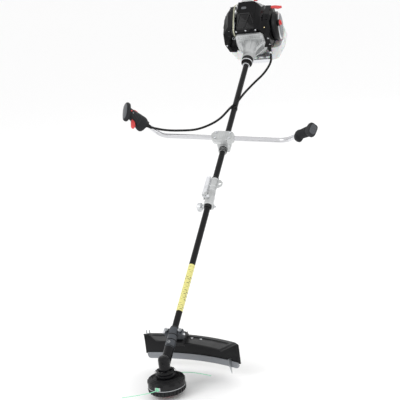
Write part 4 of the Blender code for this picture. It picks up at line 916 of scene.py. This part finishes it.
def build_plain_grip():
    rows = [(-0.004, 0.0185, 0.015, 0.003, 2.2), (-0.001, 0.024, 0.019, 0.005, 2.4),
            (0.006, 0.0258, 0.02, 0.0055, 2.6),
            (0.0105, 0.0235, 0.019, 0.003, 2.4), (0.0135, 0.0186, 0.0178, 0.0, 2.0)]
    height = 0.016
    while height < 0.066:
        swell = 0.0186 + 0.0022 * (height - 0.016) / 0.05
        rows += [(height, swell - 0.0008, swell - 0.001, 0, 2.0),
                 (height + 0.0009, swell + 0.0006, swell, 0, 2.0),
                 (height + 0.0027, swell + 0.0006, swell, 0, 2.0),
                 (height + 0.0036, swell - 0.0008, swell - 0.001, 0, 2.0)]
        height += 0.0046
    rows += [(0.0705, 0.022, 0.019, -0.0005, 2.4), (0.0745, 0.0255, 0.0196, -0.001, 3.4),
             (0.079, 0.0268, 0.0202, -0.001, 4.2),
             (0.089, 0.0268, 0.0202, -0.001, 4.2), (0.0935, 0.0255, 0.019, -0.001, 4.0),
             (0.0955, 0.0225, 0.016, -0.001, 3.6)]
    piece("plain_grip_body", loft(rows, 56), "soft_grip", home=RIGHT_GRIP, replaces=["plain_grip"])
    face = loft([(0.095, 0.0205, 0.014, -0.001, 3.4), (0.0962, 0.02, 0.0136, -0.001, 3.4),
                 (0.0967, 0.0185, 0.0124, -0.001, 3.4)], 48)
    piece("plain_grip_face", face, "soft_grip", home=RIGHT_GRIP, material="face_grey")


# ---- throttle conduit ----
def build_conduit():
    line = smooth_points(CABLE_ROUTE, 24)
    length = sum((b - a).length for a, b in zip(line, line[1:]))
    pitch = 0.0034
    turns = int(length / pitch)
    walk, at, travelled = [], 0, 0.0
    for k in range(4 * turns + 1):
        goal = length * k / (4 * turns)
        while at < len(line) - 2 and travelled + (line[at + 1] - line[at]).length < goal:
            travelled += (line[at + 1] - line[at]).length
            at += 1
        step = line[at + 1] - line[at]
        walk.append(line[at] + step * min(1.0, (goal - travelled) / step.length))
    radii = [CONDUIT / 2 * (1.0, 1.0, 0.9, 0.9)[k % 4] for k in range(len(walk))]
    conduit = piece("throttle_conduit", sweep(walk, radii, 20), "rubber", replaces=["throttle_cable"])
    end = walk[-1]
    toward = (walk[-1] - walk[-12]).normalized()
    boot = [(0, -0.03), (0.0058, -0.03), (0.0064, -0.027), (0.006, -0.024), (0.007, -0.02), (0.0066, -0.0165),
            (0.0076, -0.012), (0.0074, 0.006), (0, 0.006)]
    piece("conduit_boot", turned(boot, 32, end, toward), "rubber")
    ferrule = [(0, -0.042), (0.0054, -0.042), (0.006, -0.041), (0.006, -0.031), (0.0052, -0.03), (0, -0.03)]
    piece("conduit_ferrule", turned(ferrule, 32, end, toward), "zinc")
    start = walk[0]
    away = (walk[0] - walk[12]).normalized()
    boot = [(0, -0.024), (0.0054, -0.024), (0.0062, -0.021), (0.006, -0.018), (0.0068, -0.014),
            (0.0066, -0.0105),
            (0.008, -0.006), (0.0088, 0.006), (0, 0.006)]
    piece("conduit_grip_boot", turned(boot, 32, start, away), "rubber")


# ---- engine ----
def build_housing():
    spots = ((-0.05, -0.056), (0.059, -0.056), (0.06, -0.016), (-0.048, 0.012), (0.04, 0.02), (-0.03, 0.024))
    bolts = joined(*[screw((x, y, 1.7008), (0, 0, -1), 0.0042, 0.004) for x, y in spots])
    piece("clutch_housing_bolts", bolts, "zinc")
    webs = staves(8, (0.03, 1.656), (0.044, 1.708), 0.0034, 0.01, 0.25)
    outline = ((-0.059, -0.06), (-0.048, -0.07), (0.056, -0.07), (0.068, -0.06), (0.07, -0.015),
               (0.048, 0.028), (-0.04, 0.032), (-0.06, 0.005))
    plate = rings([[(x, y, z) for x, y in outline] for z in (1.701, 1.7112)], False)
    fins = [flat_bar((x, -0.067, 1.7004), (x, -0.045, 1.7004), 0.003, 0.003, (0, 0, 1))
            for x in [-0.048 + 0.0105 * k for k in range(10)]]
    fins += [flat_bar((-0.052, y, 1.7004), (0.06, y, 1.7004), 0.0026, 0.003, (0, 0, 1))
             for y in (-0.068, -0.044)]
    fins += [flat_bar((0.024, -0.01, 1.648), (0.064, -0.026, 1.699), 0.004, 0.012, (1, 0, -0.6)),
             flat_bar((0.022, 0.01, 1.648), (0.056, 0.012, 1.699), 0.004, 0.012, (1, 0, -0.6)),
             flat_bar((-0.022, -0.01, 1.656), (-0.046, -0.03, 1.701), 0.004, 0.01, (-1, 0, -0.6))]
    rim = turned([(0.0662, 1.7175), (0.0706, 1.72), (0.0706, 1.7245), (0.069, 1.725)], 72)
    collar = turned([(0.0235, 1.618), (0.0268, 1.619), (0.0272, 1.624), (0.0268, 1.633), (0.025, 1.6345)], 64)
    piece("clutch_housing_webs", joined(webs, plate, *fins, rim, collar), "cast_aluminium", bevel=0.0005)
    ring = turned([(0.0232, 1.593), (0.0252, 1.594), (0.0252, 1.5975), (0.024, 1.5985)], 56)
    inner = turned([(TUBE_RADIUS, 1.5725), (0.0158, 1.5725), (0.0164, 1.576), (TUBE_RADIUS, 1.5765)], 56)
    piece("isolator_ring", joined(ring, inner), "zinc")
    grooves = bands_at((1.602, 1.608), 0.024, 0.0253, (0.0006, 0.0026, 0.0034), 56)
    piece("isolator_bands", grooves, "rubber")
    clamp = joined(block((-0.0075, 0.0225, 1.6215), (0.0075, 0.0345, 1.633), 0.0012),
                   screw((0.007, 0.029, 1.6272), (1, 0, 0), 0.0034, 0.003))
    piece("housing_clamp_screw", clamp, "cast_aluminium", bevel=0.0005)


def slope_point(low_edge, high_edge, share, x, lift=0.0):
    """A point between two (y, z) edges of a cowl's sloping face, lifted off along its outward normal."""
    low, high = Vector((0, *low_edge)), Vector((0, *high_edge))
    along = (high - low).normalized()
    out = Vector((0, -along.z, along.y))
    if out.y > 0:
        out = -out
    return low.lerp(high, share) + Vector((x, 0, 0)) + out * lift, out


def slope_bar(edges, start, end, lift, width, thick):
    """A bar between two (share, x) places on a cowl's sloping face."""
    (a, out), (b, out) = [slope_point(*edges, share, x, lift) for share, x in (start, end)]
    return flat_bar(a, b, width, thick, out)


def panel_on_slope(low_edge, high_edge, shares, xs, thick, corner=0.25):
    """A thin plate with cut corners on a cowl's sloping face."""
    (s0, s1), (x0, x1) = shares, xs
    cut_s, cut_x = (s1 - s0) * corner, (x1 - x0) * corner * 0.6
    outline = [(s0, x0 + cut_x), (s0, x1 - cut_x), (s0 + cut_s, x1), (s1 - cut_s, x1), (s1, x1 - cut_x),
               (s1, x0 + cut_x),
               (s1 - cut_s, x0), (s0 + cut_s, x0)]
    loops = [[slope_point(low_edge, high_edge, s, x, lift)[0] for s, x in outline]
             for lift in (-0.001, thick)]
    return rings(loops, False)


COWL_FRONT = ((-0.094, 1.7115), (-0.14, 1.768))  # the centre cowl's first slope in (y, z)
COWL_BROW = ((-0.14, 1.768), (-0.159, 1.822))
COWL_BACK = ((-0.159, 1.822), (-0.116, 1.868))
SIDE_FRONT = ((-0.066, 1.7115), (-0.088, 1.75))
SIDE_BROW = ((-0.088, 1.75), (-0.1, 1.8))


def build_cowls():
    plate = panel_on_slope(*COWL_BROW, (0.35, 0.56), (-0.026, -0.003), 0.0006)
    piece("cowl_plate", plate, "gloss_black", material="face_grey")
    corners = (((0.1, -0.046), (0.96, -0.03)), ((0.96, -0.03), (0.96, 0.016)),
               ((0.08, -0.012), (0.96, 0.016)),
               ((0.96, 0.016), (0.3, 0.032)), ((0.1, -0.046), (0.08, -0.012)),
               ((0.52, -0.018), (0.52, 0.006)))
    ridges = [slope_bar(COWL_FRONT, start, end, 0.0006, 0.005, 0.004) for start, end in corners]
    piece("cowl_front_ridges", ridges, "gloss_black", bevel=0.0012)
    slats = [slope_bar(COWL_BACK, (share, -0.03), (share, 0.022), 0.0006, 0.0034, 0.0028)
             for share in (0.18 + 0.13 * k for k in range(6))]
    slats += [slope_bar(SIDE_BROW, (share, 0.06), (share, 0.084), 0.0002, 0.003, 0.0026)
              for share in (0.46 + 0.11 * k for k in range(5))]
    piece("cowl_louvres", slats, "black_plastic", bevel=0.0005)
    seams = []
    for x, radius in ((-0.0612, 0.0021), (-0.0645, 0.0012)):
        path = [(x, -0.06, 1.7118), (x, -0.088, 1.713), (x, -0.126, 1.768), (x, -0.142, 1.822),
                (x, -0.104, 1.866), (x, -0.06, 1.8672)]
        seams.append(sweep(smooth_points(path, 8), radius, 12))
    piece("cowl_seam_trim", seams, "steel", material="seam_metal")

    def bridge(z, top, low_top):
        return [(0.038, -top + 0.003, z), (0.0444, -top + 0.01, z), (0.056, -(top + low_top) / 2 + 0.004, z),
                (0.064, -low_top, z), (0.064, -low_top + 0.012, z), (0.038, -low_top + 0.012, z)]

    shroud = rings([bridge(1.718, 0.096, 0.07), bridge(1.768, 0.136, 0.093), bridge(1.822, 0.154, 0.1),
                    bridge(1.864, 0.116, 0.094)], False)
    piece("cowl_bridge", shroud, "gloss_black", bevel=0.002)
    spine = [flat_bar((0.05, -0.11 - 0.002 * k, z), (0.062, -0.101, z), 0.004, 0.0034, (0.4, -1, 0))
             for k, z in enumerate((1.78, 1.794, 1.808, 1.822))]
    piece("cowl_bridge_ribs", spine, "black_plastic", bevel=0.0006)
    wall = span("side_cowl", SHAFT)[1].x - 0.0006
    spots = [((x, y, 1.7118), (0, 0, -1)) for x, y in ((-0.051, -0.083), (0.038, -0.085), (-0.007, -0.086),
                                                       (0.051, -0.064), (0.084, -0.033), (0.084, 0.002))]
    spots += [((wall, 0.015, 1.79), (1, 0, 0)), ((wall, 0.015, 1.85), (1, 0, 0))]
    piece("cowl_screws", joined(*[screw(at, toward, 0.004, 0.0026) for at, toward in spots]), "zinc")
    dot, out = slope_point(*SIDE_FRONT, 0.55, 0.074, 0.0004)
    piece("cowl_marker", turned([(0, 0), (0.0026, 0), (0.0022, 0.0007), (0, 0.0009)], 28, dot, out),
          "pale_cap", material="bare_copper")
    knob = [(0, 0), (0.009, 0), (0.009, 0.004), (0.0076, 0.006), (0, 0.0066)]
    at, out = slope_point(*COWL_BACK, 0.1, 0.036, 0.0)
    piece("cowl_top_plug", turned(knob, 32, at, out), "dark_red")


def build_muffler_side():
    slots = [flat_bar((-0.1185, y, 1.75), (-0.1255, y, 1.835), 0.0028, 0.004, (-1, 0, 0))
             for y in (-0.078, -0.066, -0.054, -0.042)]
    piece("muffler_cover_ribs", slots, "black_plastic", bevel=0.0006)
    brow = [flat_bar((-0.09, -0.13 + 0.0003, z), (-0.066, -0.1338, z), 0.003, 0.0024, (-0.13, -1, 0))
            for z in (1.796, 1.806, 1.816, 1.826)]
    piece("muffler_cover_louvres", brow, "black_plastic", bevel=0.0005)
    spots = (((-0.09, -0.08, 1.7245), (0, -0.45, -1)), ((-0.108, -0.018, 1.701), (0, 0, -1)),
             ((-0.1242, -0.01, 1.828), (-1, 0, 0)))
    screws = [screw(at, toward, 0.0038, 0.0024) for at, toward in spots]
    piece("muffler_cover_screws", screws, "zinc")


def filter_ring(inset):
    """The filter tray's rounded outline in (y, z)."""
    angles = [tau * i / 72 for i in range(72)]
    return [(-0.022 + (0.066 - inset) * cos(a), 1.806 + (0.062 - inset) * sin(a)) for a in angles]


def lens_ring(inset):
    """The pointed lens on the tray in (y, z); its long axis stands up when the shaft leans."""
    points = []
    for i in range(96):
        angle = tau * i / 96
        along = (0.061 - inset * 1.5) * cos(angle)
        across = (0.037 - inset) * sin(angle) * abs(sin(angle)) ** 0.35
        points.append((-0.022 - 0.85 * along + 0.53 * across, 1.806 + 0.53 * along + 0.85 * across))
    return points


def build_filter():
    def loops(levels, ring=filter_ring):
        return rings([[(x, y, z) for y, z in ring(inset)] for x, inset in levels], False)

    tray = [(0.0975, 0.004), (0.0985, 0.0015), (0.101, 0.0), (0.113, 0.0), (0.114, 0.0012), (0.114, 0.004)]
    piece("filter_tray", loops(tray), "black_plastic", replaces=["air_filter_cover"])
    dome = [(0.1136, 0.001), (0.119, 0.006), (0.1222, 0.016), (0.1236, 0.028)]
    piece("filter_dome", loops(dome), "gloss_black")
    band = [(0.12, 0.0), (0.1236, 0.0004), (0.1256, 0.0022), (0.126, 0.0046)]
    piece("filter_band", loops(band, lens_ring), "silver_paint")
    face = [(0.125, 0.0034), (0.1266, 0.004), (0.1284, 0.008), (0.1296, 0.015), (0.1302, 0.024)]
    piece("filter_face", loops(face, lens_ring), "black_plastic", material="filter_grey")
    ribs = []
    for k in range(4):
        middle = Vector((0.13, -0.005 + 0.004 * k, 1.803 - 0.01 * k + 0.012))
        reach = Vector((0, 0.53, 0.85)) * (0.013 - 0.0015 * k)
        ribs.append(flat_bar(middle - reach, middle + reach, 0.0022, 0.002, (1, 0, 0)))
    piece("filter_face_ribs", ribs, "black_plastic", material="face_grey", bevel=0.0005)
    seat = turned([(0.0126, -0.004), (0.015, -0.004), (0.0146, -0.0004), (0.013, 0.0004)], 48,
                  (0.13, -0.056, 1.786), (1, 0, 0))
    piece("filter_knob_seat", seat, "black_plastic")
    flutes = staves(14, (0.0118, 0.1306), (0.0118, 0.133), 0.002, 0.0016, at=(0, -0.056, 1.786),
                    toward=(1, 0, 0))
    piece("filter_knob_flutes", flutes, "red_plastic", "filter_screw")


def build_tank():
    outline = [(-0.086, 0.048), (-0.118, 0.0465), (-0.125, 0.07), (-0.105, 0.113), (-0.05, 0.133),
               (0.05, 0.135),
               (0.101, 0.117), (0.125, 0.076), (0.121, 0.0465), (0.086, 0.048)]
    path = [(x, y, 1.806) for x, y in outline]
    piece("tank_seam", sweep(smooth_points(path, 5), 0.0013, 10), "tank_plastic")
    collar = turned([(0.0172, -0.006), (0.0196, -0.006), (0.0196, -0.0035), (0.018, -0.0012),
                     (0.0172, -0.0012)], 48, (-0.062, 0.096, 1.8863), (0, 0, 1))
    piece("tank_neck_collar", collar, "tank_plastic")
    flutes = staves(22, (0.0208, 1.888), (0.0208, 1.8965), 0.0026, 0.0018, at=(-0.062, 0.096, 0))
    piece("fuel_cap_flutes", flutes, "black_plastic", "fuel_cap", bevel=0.0004)
    feet = [turned([(0, 0), (0.008, 0), (0.007, 0.004), (0, 0.0046)], 28, (x, y, z), (0, 1, 0))
            for z in (1.77, 1.845) for x, y in ((-0.03, 0.1322), (0.03, 0.1334))]
    piece("tank_feet", feet, "rubber")


def build_starter():
    grille = staves(18, (0.015, 1.9012), (0.043, 1.9002), 0.0024, 0.003, flat=True)
    hub = turned([(0, 1.9), (0.014, 1.9), (0.014, 1.9034), (0.012, 1.9046), (0, 1.9046)], 48)
    rim = turned([(0.0425, 1.8996), (0.0465, 1.899), (0.047, 1.9016), (0.043, 1.902)], 72)
    piece("starter_grille", joined(grille, hub, rim), "black_plastic", bevel=0.0004)
    gills = staves(30, (0.0602, 1.862), (0.0602, 1.883), 0.0028, 0.0022)
    piece("starter_gills", gills, "black_plastic", bevel=0.0004)
    bolts = ring_of(4, lambda a: screw(polar(0.0525, a, 1.892), polar(1, a, 1.1), 0.0036, 0.003), 0.8)
    piece("starter_screws", bolts, "zinc")
    low, high = span("starter_handle", SHAFT)
    grooves = [flat_bar((x, low.y - 0.0002, low.z + 0.003), (x, low.y - 0.0002, high.z - 0.003), 0.002,
                        0.0014, (0, -1, 0))
               for x in [low.x + 0.008 + 0.0055 * k for k in range(8)]]
    piece("starter_handle_ribs", grooves, "pale_cap", "starter_grip", bevel=0.0004)


def build_stand():
    low, high = span("engine_stand", SHAFT)
    bolts = [hex_nut((x, high.y - 0.0136, 1.73), (0, 1, 0), 0.0046, 0.004) for x in (-0.008, 0.029, 0.066)]
    y = high.y - 0.0005
    flange = flat_bar((low.x + 0.003, y, 1.6936), (high.x - 0.003, y, 1.6936), 0.003, 0.004, (0, 1, 0))
    piece("stand_bolts", joined(*bolts, flange), "zinc")


def build_carburetor():
    low, high = span("carburetor", SHAFT)
    bowl = joined(block((low.x + 0.01, low.y - 0.004, 1.7905), (high.x - 0.012, low.y + 0.002, 1.815),
                        0.0015),
                  *[screw((x, low.y - 0.004, z), (0, -1, 0), 0.0024, 0.0018)
                    for x in (low.x + 0.014, high.x - 0.016) for z in (1.794, 1.8115)])
    piece("carburetor_cover", bowl, "cast_aluminium", bevel=0.0004)


finishes = make_materials()
make_camera()
make_studio()
build_conduit()
finish_nodes()
build_head()
build_guard()
build_tube()
build_coupler()
build_bars()
build_throttle_grip()
build_plain_grip()
build_housing()
build_cowls()
build_muffler_side()
build_filter()
build_tank()
build_starter()
build_stand()
build_carburetor()
